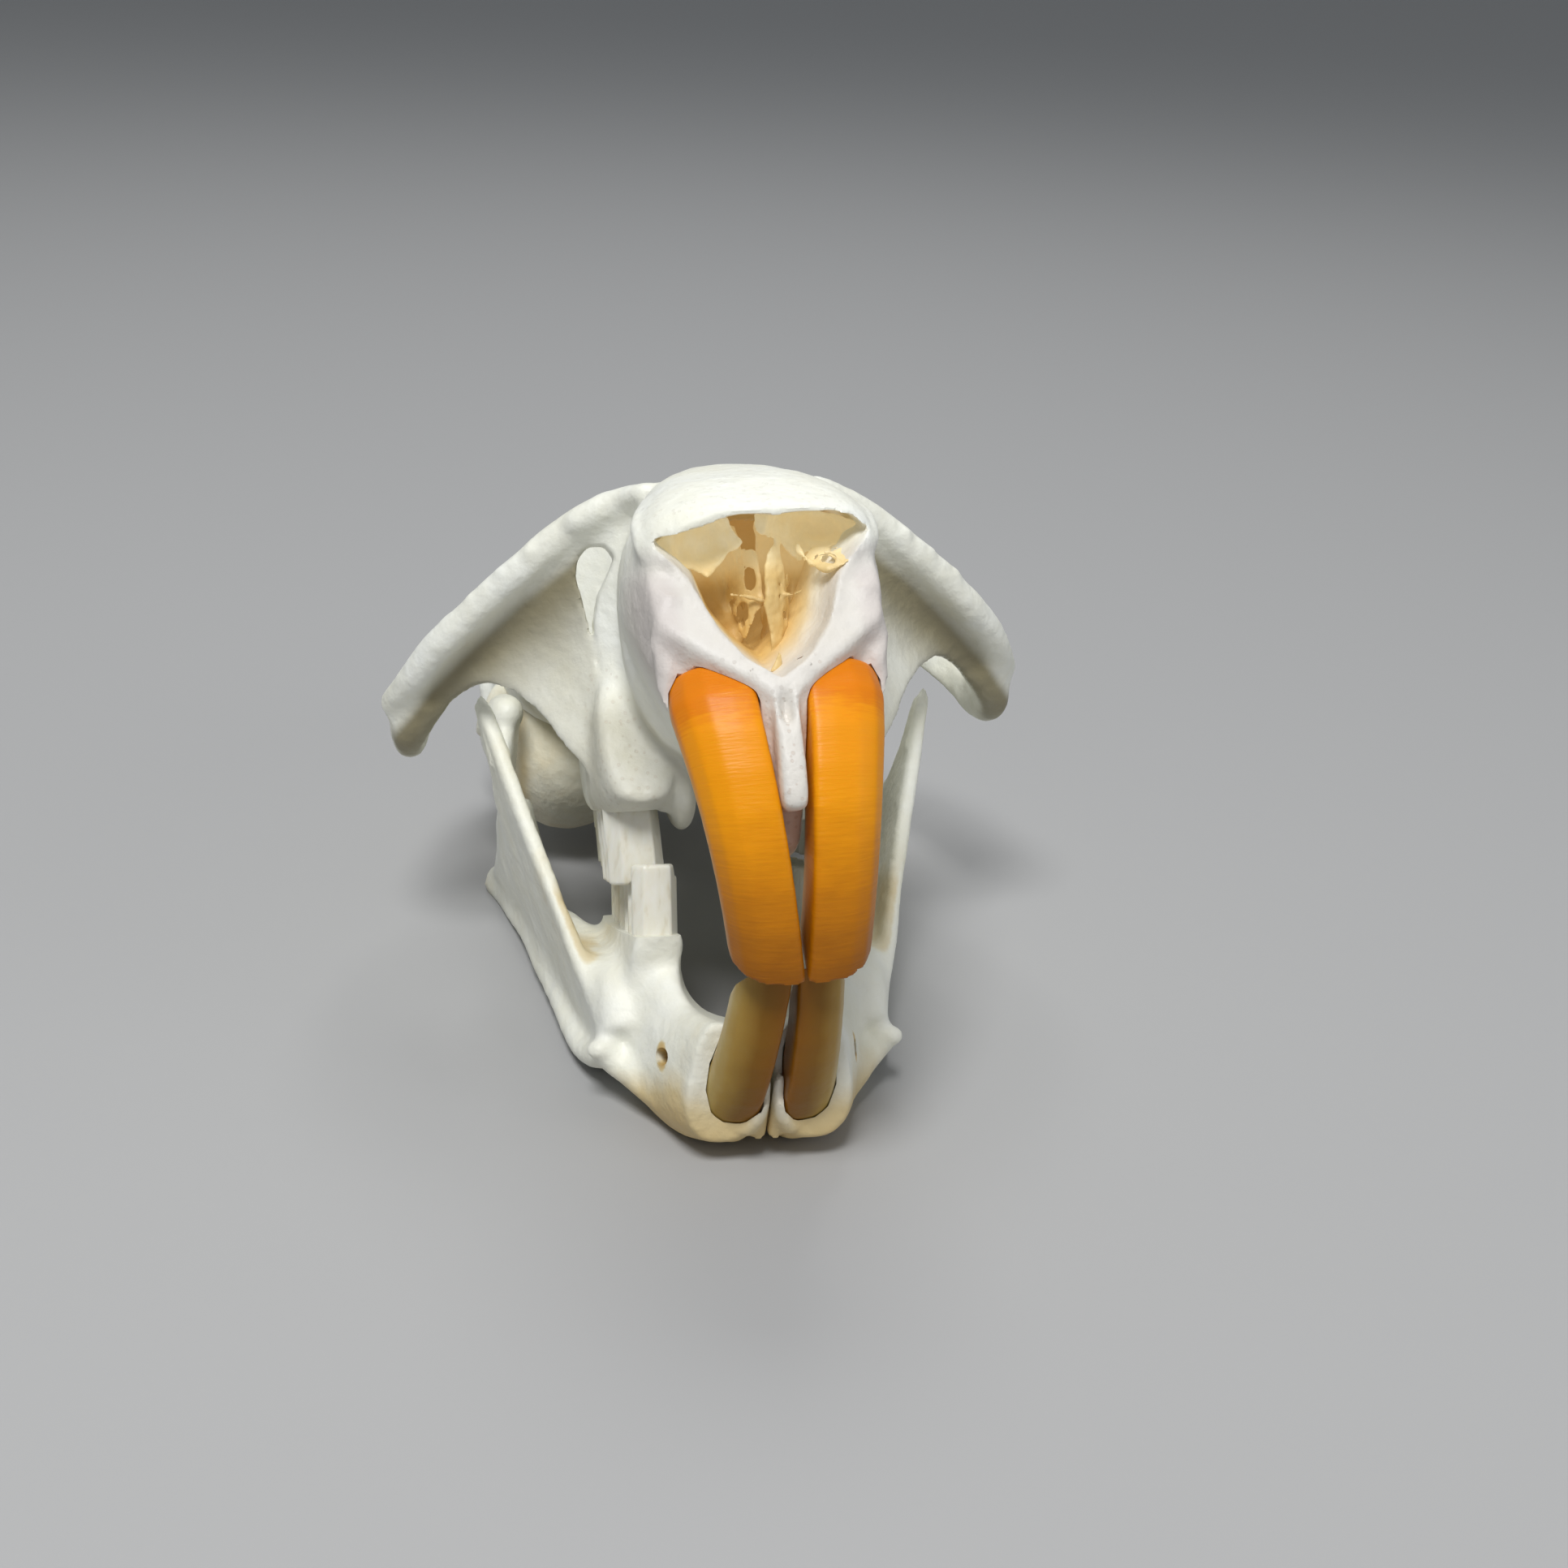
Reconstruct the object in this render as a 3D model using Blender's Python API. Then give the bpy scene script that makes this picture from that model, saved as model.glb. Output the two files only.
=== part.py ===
"""A muskrat skull with its jaws closed, life size, resting on its chin and the angles of its lower jaw.

Every shape is drawn in the skull's own frame, in millimetres: +X is the skull's left, +Y runs back
from the front of the upper incisors, and +Z runs up from the plane where the cheek teeth meet.
The empty skull_rest then tips the skull nose up into the pose in which it lies.
"""

import math

import bmesh
import bpy
from mathutils import Matrix, Vector

MM = 0.001

# Driving dimensions, in millimetres and degrees. The skull is tipped nose up by REST_TILT and cut flat
# under the chin at CHIN_Y and CHIN_Z; the cranium is set on the jaw with SKULL_ROLL and SKULL_YAW about
# a line through ROLL_Y and ROLL_Z.
REST_TILT = 21.4
CHIN_Y = 15.6
CHIN_Z = -15.2
SKULL_ROLL = 2.4
SKULL_YAW = 1.3
ROLL_Y = 20.0
ROLL_Z = 6.0
# Half widths of the snout, of the waist between the eyes and of the braincase.
ROSTRUM_HALF = 7.0
INTERORBITAL_HALF = 3.3
BRAINCASE_HALF = 12.4
# Where the bones are cut apart: the face's back, and the cheek pieces' ends as distances from the middle.
FACE_END = 34.6
PLATE_START = 9.0
JUGAL_START = 17.2
SQUAMOSAL_END = 13.0
SEAM = 0.3
# The heights of the bone round the cheek teeth, and the gap left between upper and lower teeth.
ALVEOLUS = 4.0
LOWER_ALVEOLUS = -3.6
BITE_GAP = 0.3
# The grain to which a bone is fused.
VOXEL = 0.42

# How much further an incisor's root lies inside the bone with each degree past the rim of its socket.
ROOT_SINK = 0.06
# The upper incisor's front face lies on a circle in the YZ plane.
UPPER_ARC_CENTRE = (16.4, 3.6)
UPPER_ARC_RADIUS = 16.3
UPPER_THICKNESS = 4.3
UPPER_WIDTH = 3.9
UPPER_TIP_ANGLE = -32.0
UPPER_RIM_ANGLE = 24.0
# The lower incisor's front face lies on a circle as well.
LOWER_ARC_CENTRE = (21.8, 1.5)
LOWER_ARC_RADIUS = 18.5
LOWER_THICKNESS = 3.3
LOWER_WIDTH = 2.65
LOWER_TIP_ANGLE = 19.0
LOWER_RIM_ANGLE = 56.0


def clear_scene():
    for thing in list(bpy.data.objects):
        bpy.data.objects.remove(thing, do_unlink=True)


def material(name, colour, roughness):
    """A plain Principled material, with the colour in linear RGB."""
    made = bpy.data.materials.new(name)
    made.use_nodes = True
    shader = made.node_tree.nodes["Principled BSDF"]
    shader.inputs["Base Color"].default_value = (*colour, 1.0)
    shader.inputs["Roughness"].default_value = roughness
    shader.inputs["Metallic"].default_value = 0.0
    made.diffuse_color = (*colour, 1.0)
    return made


def glide(stations, steps=4):
    """A smooth curve through the stations, as tuples of the same length."""
    rows = [Vector(station) for station in stations]
    rows = [2 * rows[0] - rows[1]] + rows + [2 * rows[-1] - rows[-2]]
    made = []
    for i in range(1, len(rows) - 2):
        before, start, end, after = rows[i - 1 : i + 3]
        for step in range(steps):
            t = step / steps
            made.append(
                0.5
                * (
                    2 * start
                    + (end - before) * t
                    + (2 * before - 5 * start + 4 * end - after) * t**2
                    + (3 * start - before - 3 * end + after) * t**3
                )
            )
    return made + [rows[-2]]


def ring(centre, side, up, down=None, power=2.0, count=24):
    """A superellipse about centre, whose half axes are the vectors side, up and down."""
    down = up if down is None else down
    points = []
    for i in range(count):
        angle = math.tau * i / count
        across = math.copysign(abs(math.cos(angle)) ** (2 / power), math.cos(angle))
        along = math.copysign(abs(math.sin(angle)) ** (2 / power), math.sin(angle))
        points.append(centre + side * across + (up if along > 0 else down) * along)
    return points


def skin(rings):
    """A closed shape through the rings, as its points and faces."""
    count = len(rings[0])
    points = [point for one in rings for point in one]
    faces = []
    for r in range(len(rings) - 1):
        for i in range(count):
            j = (i + 1) % count
            a = r * count
            b = a + count
            faces.append((a + i, a + j, b + j, b + i))
    first = len(points)
    points.append(sum(rings[0], Vector((0, 0, 0))) / count)
    points.append(sum(rings[-1], Vector((0, 0, 0))) / count)
    last = (len(rings) - 1) * count
    for i in range(count):
        j = (i + 1) % count
        faces.append((first, j, i))
        faces.append((first + 1, last + i, last + j))
    return points, faces


def trunk(stations, power=2.4, count=28, steps=4):
    """A shape across the midline, from stations of y, half width, and its lowest, widest and highest z."""
    rings = []
    for y, half, low, wide, high in glide(stations, steps):
        rings.append(
            ring(
                Vector((0, y, wide)),
                Vector((half, 0, 0)),
                Vector((0, 0, high - wide)),
                Vector((0, 0, wide - low)),
                power,
                count,
            )
        )
    return skin(rings)


def tube(stations, power=2.2, count=16, upright=(0, 0, 1), steps=4):
    """A tube through stations of x, y, z, half thickness sideways and half thickness upwards."""
    upright = Vector(upright)
    rows = glide(stations, steps)
    rings = []
    for i, row in enumerate(rows):
        ahead = rows[min(i + 1, len(rows) - 1)]
        behind = rows[max(i - 1, 0)]
        travel = (Vector(ahead[:3]) - Vector(behind[:3])).normalized()
        side = travel.cross(upright).normalized()
        up = side.cross(travel).normalized()
        rings.append(ring(Vector(row[:3]), side * row[3], up * row[4], None, power, count))
    return skin(rings)


def blade(top, bottom, half_thickness, bows, power=2.6, count=20, steps=4):
    """A thin sheet between two rails of x, y, z, whose middle sinks away from its outer side by bows."""
    highs = glide(top, steps)
    lows = glide(bottom, steps)
    sinks = glide([(bow, 0.0, 0.0) for bow in bows], steps)
    middles = [(high + low) / 2 for high, low in zip(highs, lows)]
    rings = []
    for i, middle in enumerate(middles):
        travel = middles[min(i + 1, len(middles) - 1)] - middles[max(i - 1, 0)]
        up = (highs[i] - lows[i]) / 2
        side = travel.cross(up).normalized()
        section = []
        for point in ring(Vector((0, 0, 0)), side * half_thickness, up, None, power, count):
            share = point.dot(up) / up.length_squared
            section.append(middle + point - side * sinks[i].x * (1 - share**2))
        rings.append(section)
    return skin(rings)


def blob(centre, radii, count=20, rows=12):
    """An ellipsoid with its axes along X, Y and Z."""
    rings = []
    for i in range(1, rows):
        angle = math.pi * i / rows
        middle = Vector(centre) - Vector((0, radii[1] * math.cos(angle), 0))
        size = math.sin(angle)
        rings.append(
            ring(
                middle,
                Vector((radii[0] * size, 0, 0)),
                Vector((0, 0, radii[2] * size)),
                None,
                2.0,
                count,
            )
        )
    return skin(rings)


def plate(outline, place_x, half_thickness, steps=3):
    """A sheet with a closed outline of y, z points, whose middle surface is at x = place_x(y, z)."""
    shape = bmesh.new()
    loop = [shape.verts.new((-half_thickness, y, z)) for y, z in glide([*outline, outline[0]], steps)[:-1]]
    shape.faces.new(loop)
    bmesh.ops.triangulate(shape, faces=shape.faces[:], ngon_method="EAR_CLIP")
    bmesh.ops.subdivide_edges(shape, edges=shape.edges[:], cuts=4, use_grid_fill=True)
    raised = bmesh.ops.extrude_face_region(shape, geom=shape.faces[:])["geom"]
    for vert in raised:
        if isinstance(vert, bmesh.types.BMVert):
            vert.co.x = half_thickness
    for vert in shape.verts:
        vert.co.x += place_x(vert.co.y, vert.co.z)
    shape.verts.index_update()
    points = [vert.co.copy() for vert in shape.verts]
    faces = [tuple(vert.index for vert in face.verts) for face in shape.faces]
    shape.free()
    return points, faces


def box(low, high):
    """A block between two corners."""
    centre = (Vector(low) + Vector(high)) / 2
    half = (Vector(high) - Vector(low)) / 2
    corners = ((-1, -1), (1, -1), (1, 1), (-1, 1))
    rings = []
    for end in (-1, 1):
        rings.append([centre + Vector((half.x * a, half.y * end, half.z * b)) for a, b in corners])
    return skin(rings)


def mirrored(piece):
    points, faces = piece
    flipped = [Vector((-point[0], point[1], point[2])) for point in points]
    return flipped, [tuple(reversed(face)) for face in faces]


def both(*pieces):
    """The pieces and their mirror images."""
    return [*pieces, *(mirrored(piece) for piece in pieces)]


def object_of(name, pieces):
    """One mesh object that holds every piece, its faces pointing out."""
    shape = bmesh.new()
    for points, faces in pieces:
        verts = [shape.verts.new(Vector(point) * MM) for point in points]
        made = [shape.faces.new([verts[i] for i in face]) for face in faces]
        bmesh.ops.recalc_face_normals(shape, faces=made)
    mesh = bpy.data.meshes.new(name)
    shape.to_mesh(mesh)
    shape.free()
    made = bpy.data.objects.new(name, mesh)
    bpy.context.scene.collection.objects.link(made)
    return made


def settle(thing):
    """Applies the object's modifiers."""
    graph = bpy.context.evaluated_depsgraph_get()
    mesh = bpy.data.meshes.new_from_object(thing.evaluated_get(graph))
    thing.modifiers.clear()
    thing.data = mesh


def remeshed(thing, voxel, rounds):
    """Fuses overlapping pieces into one even skin and rounds it off."""
    modifier = thing.modifiers.new("fuse", "REMESH")
    modifier.mode = "VOXEL"
    modifier.voxel_size = voxel * MM
    modifier.adaptivity = 0.0
    modifier = thing.modifiers.new("round", "SMOOTH")
    modifier.factor = 0.5
    modifier.iterations = rounds
    settle(thing)


def thinned(thing, triangles):
    """Cuts the number of triangles to about the one named."""
    count = sum(len(face.vertices) - 2 for face in thing.data.polygons)
    modifier = thing.modifiers.new("thin", "DECIMATE")
    modifier.ratio = min(1.0, triangles / count)
    settle(thing)


def carved(thing, cutters, solver="EXACT"):
    """Takes the cutters away from the object."""
    for piece in cutters:
        cutter = object_of("cutter", [piece])
        modifier = thing.modifiers.new("carve", "BOOLEAN")
        modifier.operation = "DIFFERENCE"
        modifier.solver = solver
        modifier.object = cutter
        settle(thing)
        bpy.data.objects.remove(cutter, do_unlink=True)


def largest_piece(thing):
    """Keeps the object's largest connected surface."""
    shape = bmesh.new()
    shape.from_mesh(thing.data)
    left = set(shape.verts)
    groups = []
    while left:
        reached = {left.pop()}
        edge = list(reached)
        while edge:
            near = {link.other_vert(vert) for vert in edge for link in vert.link_edges}
            edge = list(near - reached)
            reached |= near
        left -= reached
        groups.append(reached)
    groups.sort(key=len)
    for group in groups[:-1]:
        bmesh.ops.delete(shape, geom=list(group), context="VERTS")
    shape.to_mesh(thing.data)
    shape.free()


def joined(thing, pieces):
    """Adds more pieces to the object's mesh."""
    extra = object_of("extra", pieces)
    shape = bmesh.new()
    shape.from_mesh(thing.data)
    shape.from_mesh(extra.data)
    shape.to_mesh(thing.data)
    shape.free()
    bpy.data.objects.remove(extra, do_unlink=True)


def bone(name, stages, triangles, seams=(), voxel=VOXEL, rounds=5):
    """A bone made in stages, each of pieces to fuse and hollows to carve, then cut at its seams."""
    made = object_of(name, stages[0][0])
    for i, (pieces, hollows) in enumerate(stages):
        if i:
            joined(made, pieces)
        remeshed(made, voxel, rounds if i == 0 else 2)
        if hollows:
            carved(made, hollows, "MANIFOLD")
            largest_piece(made)
    remeshed(made, voxel, 2)
    thinned(made, triangles)
    carved(made, seams)
    largest_piece(made)
    return made


# The incisors' cross section, as shares of half the width and half the thickness: out, then forward.
INCISOR_SECTION = (
    (-1.0, -0.5),
    (-1.0, 0.6),
    (-0.86, 0.95),
    (-0.4, 1.0),
    (0.2, 0.92),
    (0.66, 0.66),
    (0.95, 0.2),
    (0.96, -0.3),
    (0.66, -0.8),
    (0.0, -1.0),
    (-0.66, -0.92),
)


def incisor(centre, radius, upwards, place_x, width, thickness, rim, start, end, spread=0.0):
    """A left incisor along its arc, grown by spread; past the rim angle its root lies deeper."""
    rings = []
    steps = 9
    half_width = width / 2 + spread
    half_thickness = thickness / 2
    for i in range(steps + 1):
        angle = start + (end - start) * i / steps
        turn = math.radians(angle)
        forward = Vector((0, -math.cos(turn), upwards * math.sin(turn)))
        sunk = ROOT_SINK * max(0.0, angle - rim)
        middle = Vector((place_x(angle), *centre)) + forward * (radius - half_thickness - sunk)
        rings.append([
            middle
            + Vector((out * half_width, 0, 0))
            + forward * (ahead * (half_thickness + spread))
            for out, ahead in INCISOR_SECTION
        ])
    return skin(rings)


def upper_x(angle):
    """How far out the upper incisor's middle lies: the tips meet, and the teeth are furthest apart at the rim."""
    share = (angle - UPPER_TIP_ANGLE) / (UPPER_RIM_ANGLE - UPPER_TIP_ANGLE)
    return 2.06 + 1.24 * min(share, 1.0) - 0.6 * max(0.0, share - 1.0)


def upper_incisor(start=UPPER_TIP_ANGLE - 4, end=UPPER_RIM_ANGLE + 9, spread=0.0):
    return incisor(
        UPPER_ARC_CENTRE,
        UPPER_ARC_RADIUS,
        1.0,
        upper_x,
        UPPER_WIDTH,
        UPPER_THICKNESS,
        UPPER_RIM_ANGLE,
        start,
        end,
        spread,
    )


def lower_x(angle):
    share = (angle - LOWER_TIP_ANGLE) / (LOWER_RIM_ANGLE - LOWER_TIP_ANGLE)
    return LOWER_WIDTH / 2 + 0.18 + 0.4 * share


def lower_incisor(start=LOWER_TIP_ANGLE - 6, end=LOWER_RIM_ANGLE + 4, spread=0.0):
    return incisor(
        LOWER_ARC_CENTRE,
        LOWER_ARC_RADIUS,
        -1.0,
        lower_x,
        LOWER_WIDTH,
        LOWER_THICKNESS,
        LOWER_RIM_ANGLE,
        start,
        end,
        spread,
    )


def tooth(name, piece, cutters):
    made = object_of(name, [piece])
    carved(made, cutters)
    largest_piece(made)
    return made


def molar_outline(length, width, lobes):
    """The zigzag outline of a cheek tooth seen from below, front at y = 0."""
    pitch = length / lobes
    outer = []
    inner = []
    for i in range(lobes):
        y = pitch * (i + 0.35)
        outer.append((width / 2, y))
        outer.append((width * 0.16, y + pitch * 0.5))
        inner.append((-width / 2, y + pitch * 0.35))
        inner.append((-width * 0.16, y + pitch * 0.85))
    front = [(-width * 0.3, 0.0), (width * 0.25, 0.0)]
    return front + outer[:-1] + [(width * 0.2, length)] + list(reversed(inner[:-1]))


def molar(name, place, length, width, lobes, low, high, lean):
    """A fluted prism from low to high that leans sideways with height."""
    rings = []
    for z in (low, high):
        rings.append([
            Vector((place[0] + x + lean * (z - low), place[1] + y, z))
            for x, y in molar_outline(length, width, lobes)
        ])
    return object_of(name, [skin(rings)])


# The rails of the cheekbone, from the snout out and back to the braincase.
ARCH_TOP = [
    (4.8, 18.0, 22.4),
    (8.7, 20.2, 20.9),
    (12.0, 21.9, 18.6),
    (15.3, 24.2, 15.9),
    (17.4, 26.2, 14.0),
    (18.9, 28.6, 12.2),
    (19.9, 31.5, 11.2),
    (19.3, 35.0, 12.4),
    (17.4, 38.6, 15.0),
    (14.4, 41.6, 16.6),
    (10.6, 43.4, 17.2),
]
ARCH_BOTTOM = [
    (6.0, 17.8, 3.6),
    (9.6, 20.6, 7.0),
    (11.8, 23.0, 10.2),
    (14.2, 26.0, 11.8),
    (16.2, 28.6, 11.0),
    (17.8, 30.8, 9.2),
    (18.6, 33.2, 7.9),
    (18.0, 36.0, 9.0),
    (16.2, 39.0, 11.6),
    (13.6, 41.6, 13.6),
    (10.6, 43.6, 14.4),
]
ARCH_BOWS = [1.0, 1.8, 2.0, 1.4, 0.8, 0.4, 0.0, 0.0, 0.0, 0.0, 0.0]


def cheekbone():
    """The plate and arch, a sunken sheet under a thick ridge."""
    ridge = tube([(x, y, z, 1.1, 1.05) for x, y, z in ARCH_TOP[:7]])
    jugal = tube([
        (17.4, 28.6, 11.4, 0.9, 0.9),
        (19.0, 31.0, 10.0, 1.2, 1.8),
        (18.9, 33.6, 9.6, 1.1, 1.9),
        (18.1, 36.4, 11.0, 0.9, 1.5),
    ])
    return [blade(ARCH_TOP, ARCH_BOTTOM, 0.75, ARCH_BOWS), ridge, jugal]


def face_pieces():
    """The snout, palate and the bone between the eyes, without the nasals and the septum."""
    snout = trunk([
        (0.6, 4.7, 11.0, 13.6, 16.4),
        (3.0, 5.8, 9.8, 14.6, 18.6),
        (6.0, 6.5, 8.6, 15.4, 20.2),
        (10.0, 7.1, 7.4, 15.4, 22.0),
        (15.0, ROSTRUM_HALF, 6.2, 15.4, 23.1),
        (19.0, 6.3, 5.4, 15.2, 23.7),
        (23.0, 4.6, 5.2, 15.4, 24.1),
        (28.0, INTERORBITAL_HALF, 5.6, 17.0, 24.4),
        (32.0, 3.5, 6.4, 17.5, 24.3),
        (36.0, 7.0, 7.4, 17.0, 24.1),
    ])
    palate = trunk([
        (5.0, 4.6, 7.8, 9.0, 12.0),
        (10.0, 3.7, 7.0, 9.0, 12.0),
        (15.0, 3.7, 6.2, 8.5, 12.0),
        (19.0, 4.4, 4.9, 7.5, 12.0),
        (27.0, 4.6, 4.9, 7.0, 11.0),
        (36.0, 4.0, 5.6, 7.4, 11.0),
    ])
    sheath = upper_incisor(UPPER_RIM_ANGLE - 22, UPPER_RIM_ANGLE + 32, 0.85)
    jaw = tube([
        (6.1, 17.6, 8.4, 2.2, 4.4),
        (6.3, 21.0, 6.8, 2.5, 3.8),
        (6.3, 28.0, 6.6, 2.4, 3.6),
        (6.0, 32.6, 6.9, 2.1, 3.3),
        (5.8, 34.1, 7.2, 1.3, 2.4),
    ], 3.0)
    return [snout, palate, *both(sheath, jaw, *cheekbone())]


def nasal_pieces():
    """The nasal bones' broad front and the thin septum between the incisors."""
    nasals = trunk(
        [
            (5.0, 4.6, 17.0, 18.2, 20.3),
            (6.2, 6.3, 16.6, 18.0, 21.0),
            (9.0, 6.5, 16.6, 18.4, 22.3),
            (13.0, 6.0, 17.4, 19.0, 23.3),
            (18.0, 4.8, 17.4, 19.0, 24.0),
            (25.0, 2.8, 17.4, 19.0, 24.4),
        ],
        2.8,
    )
    septum = trunk([
        (1.5, 1.5, 9.2, 11.2, 12.2),
        (2.8, 1.4, 2.4, 10.6, 13.0),
        (6.0, 1.3, 1.9, 10.6, 13.0),
        (9.0, 1.6, 5.4, 10.0, 12.0),
    ])
    return [nasals, septum]


def slope_cutter(near, far, reach, half_width):
    """A wedge-shaped cutter whose flat face runs through two y, z points and lies behind reach."""
    (y0, z0), (y1, z1) = near, far
    along = Vector((0, y1 - y0, z1 - z0)).normalized()
    out = Vector((0, -along.z, along.y)) * reach
    start = Vector((0, y0, z0)) - along * 20
    end = Vector((0, y1, z1)) + along * 20
    rings = []
    for x in (-half_width, half_width):
        shift = Vector((x, 0, 0))
        rings.append([start + shift, end + shift, end + out + shift, start + out + shift])
    return skin(rings)


def under_plane(a, b, c, xs, ys, bottom):
    """A cutter that fills everything under the plane through three points, within ranges of x and y."""
    a, b, c = Vector(a), Vector(b), Vector(c)
    normal = (b - a).cross(c - a)

    def height(x, y):
        return a.z - (normal.x * (x - a.x) + normal.y * (y - a.y)) / normal.z

    rings = []
    for x in xs:
        tops = [Vector((x, y, height(x, y))) for y in ys]
        rings.append([tops[0], tops[1], Vector((x, ys[1], bottom)), Vector((x, ys[0], bottom))])
    return skin(rings)


def nose_cavity():
    """The nose opening, wide under the nasals and narrowing to a notch, and the blind passage behind it."""
    outline = [
        (0.0, 11.1),
        (1.8, 12.4),
        (3.0, 13.8),
        (3.7, 15.3),
        (4.2, 16.4),
        (5.1, 17.3),
        (6.5, 18.5),
        (5.0, 19.1),
        (2.4, 19.5),
        (0.0, 19.6),
    ]
    loop = outline + [(-x, z) for x, z in reversed(outline[1:-1])]
    rings = []
    # Each station holds its y, its width as a share, its floor and its roof.
    stations = (
        (-6.0, 1.0, 11.1, 17.4),
        (1.4, 1.0, 11.1, 18.6),
        (5.0, 0.95, 11.3, 19.3),
        (9.0, 0.85, 12.4, 20.6),
        (13.0, 0.75, 13.2, 21.2),
        (17.0, 0.4, 14.2, 19.6),
    )
    for y, wide, floor, roof in stations:
        rings.append([Vector((x * wide, y, floor + (roof - floor) * (z - 11.1) / 8.2)) for x, z in loop])
    return skin(rings)


def face():
    rim = under_plane((1.0, 1.4, 9.9), (5.6, 3.6, 12.0), (5.0, 7.2, 7.9), (0.7, 14.0), (-10.0, 9.0), -20.0)
    front = slope_cutter((1.3, 11.0), (6.6, 18.3), 30.0, 30.0)
    infraorbital = tube([
        (7.3, 9.0, 18.2, 1.0, 1.7),
        (7.45, 17.0, 18.0, 1.25, 1.9),
        (7.2, 21.0, 17.0, 1.6, 2.8),
        (6.4, 26.0, 16.4, 2.2, 3.4),
    ])
    slit = tube([(7.7, 10.0, 14.8, 0.4, 2.6), (7.5, 24.0, 14.8, 0.5, 2.8)])
    stages = [
        (face_pieces(), [front, *both(rim)]),
        (nasal_pieces(), [nose_cavity(), *both(infraorbital, slit)]),
    ]
    seams = [
        box((-30, FACE_END - SEAM / 2, -30), (30, 90, 60)),
        box((PLATE_START - SEAM / 2, -30, -30), (60, 90, 60)),
        box((-60, -30, -30), (-PLATE_START + SEAM / 2, 90, 60)),
        *both(upper_incisor(spread=SEAM)),
        box((-30, 17.0, -30), (30, 60, ALVEOLUS)),
    ]
    return bone("face", stages, 2300, seams)


def braincase_pieces():
    case = trunk([
        (31.0, 3.6, 9.6, 17.0, 24.3),
        (34.0, 5.6, 8.8, 17.0, 24.2),
        (37.5, 9.4, 8.2, 16.4, 24.0),
        (42.0, 11.4, 7.9, 15.6, 23.6),
        (48.0, 12.0, 7.7, 15.0, 23.1),
        (54.0, BRAINCASE_HALF, 7.6, 14.4, 22.5),
        (59.0, 12.7, 7.4, 13.8, 21.4),
        (61.4, 12.0, 7.8, 13.6, 20.2),
    ], 3.0)
    corner = tube([(6.0, 39.5, 20.6, 2.0, 1.6), (10.4, 35.8, 20.6, 0.8, 0.7)])
    root = tube([(9.0, 43.4, 15.6, 2.2, 2.0), (14.6, 42.2, 15.2, 1.2, 1.6)])
    mastoid = blob((11.2, 58.0, 9.6), (2.6, 3.4, 4.2))
    paroccipital = tube([(9.6, 59.6, 9.0, 1.8, 1.4), (9.6, 60.2, 4.6, 0.9, 0.8)], 2.2, 12, (0, 1, 0))
    condyle = blob((3.5, 61.8, 9.0), (1.7, 2.4, 2.8))
    pterygoid = tube([
        (2.9, 33.0, 7.6, 0.8, 2.4),
        (2.8, 39.0, 7.2, 0.7, 2.4),
        (3.6, 45.0, 6.8, 0.7, 2.0),
    ])
    crest = tube([
        (12.9, 57.0, 12.0, 0.8, 0.8),
        (11.6, 60.4, 17.0, 0.8, 0.8),
        (7.6, 61.2, 19.6, 0.8, 0.8),
        (0.0, 61.6, 20.3, 0.8, 0.8),
    ])
    base = trunk([(33.0, 2.6, 7.2, 9.0, 12.0), (45.0, 2.6, 6.6, 8.0, 12.0), (61.0, 3.2, 6.4, 8.0, 12.0)])
    return [case, base, *both(corner, root, mastoid, paroccipital, condyle, pterygoid, crest)]


BULLA_CENTRE = (7.8, 51.0, 7.3)
BULLA_RADII = (5.0, 6.8, 5.7)


def bulla_shapes(spread=0.0):
    body = blob(BULLA_CENTRE, [radius + spread for radius in BULLA_RADII])
    ear = tube([
        (9.0, 51.6, 8.6, 2.2 + spread, 2.2 + spread),
        (13.2 + spread, 52.6, 10.8, 2.2 + spread, 2.2 + spread),
    ])
    return [body, ear]


def braincase():
    magnum = tube([
        (0.0, 70.0, 10.6, 3.1, 2.7),
        (0.0, 60.5, 11.6, 3.1, 2.7),
        (0.0, 55.0, 12.6, 2.9, 2.5),
    ])
    seams = [
        box((-30, -30, -30), (30, FACE_END + SEAM / 2, 60)),
        box((SQUAMOSAL_END - SEAM / 2, 38, 12.4), (60, 46, 60)),
        box((-60, 38, 12.4), (-SQUAMOSAL_END + SEAM / 2, 46, 60)),
        *both(*bulla_shapes(SEAM)),
    ]
    return bone("braincase", [(braincase_pieces(), [magnum])], 1500, seams)


def bulla():
    opening = tube([(11.4, 52.1, 9.8, 1.3, 1.3), (16.0, 53.4, 12.4, 1.5, 1.5)])
    return bone("bulla_left", [(bulla_shapes(), [opening])], 300, (), 0.3, 4)


def zygomatic_plate():
    seams = [
        box((-30, -30, -30), (PLATE_START + SEAM / 2, 90, 60)),
        box((JUGAL_START - SEAM / 2, -30, -30), (60, 90, 60)),
        box((-30, 35, -30), (60, 90, 60)),
    ]
    return bone("zygomatic_plate_left", [(cheekbone(), ())], 700, seams, 0.35)


def zygomatic_arch():
    seams = [
        box((-30, -30, -30), (SQUAMOSAL_END + SEAM / 2, 90, 60)),
        box((-30, -30, -30), (JUGAL_START + SEAM / 2, 33, 60)),
    ]
    return bone("zygomatic_arch_left", [(cheekbone(), ())], 700, seams, 0.35)


def ramus_x(y, z):
    """How far out the jaw's upright plate stands."""
    lean = 8.0 + 0.077 * (y - 19) + 0.27 * (z + 10)
    back = max(0.0, y - 34.0) * max(0.0, z + 1.0)
    return lean - 0.034 * back


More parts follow.
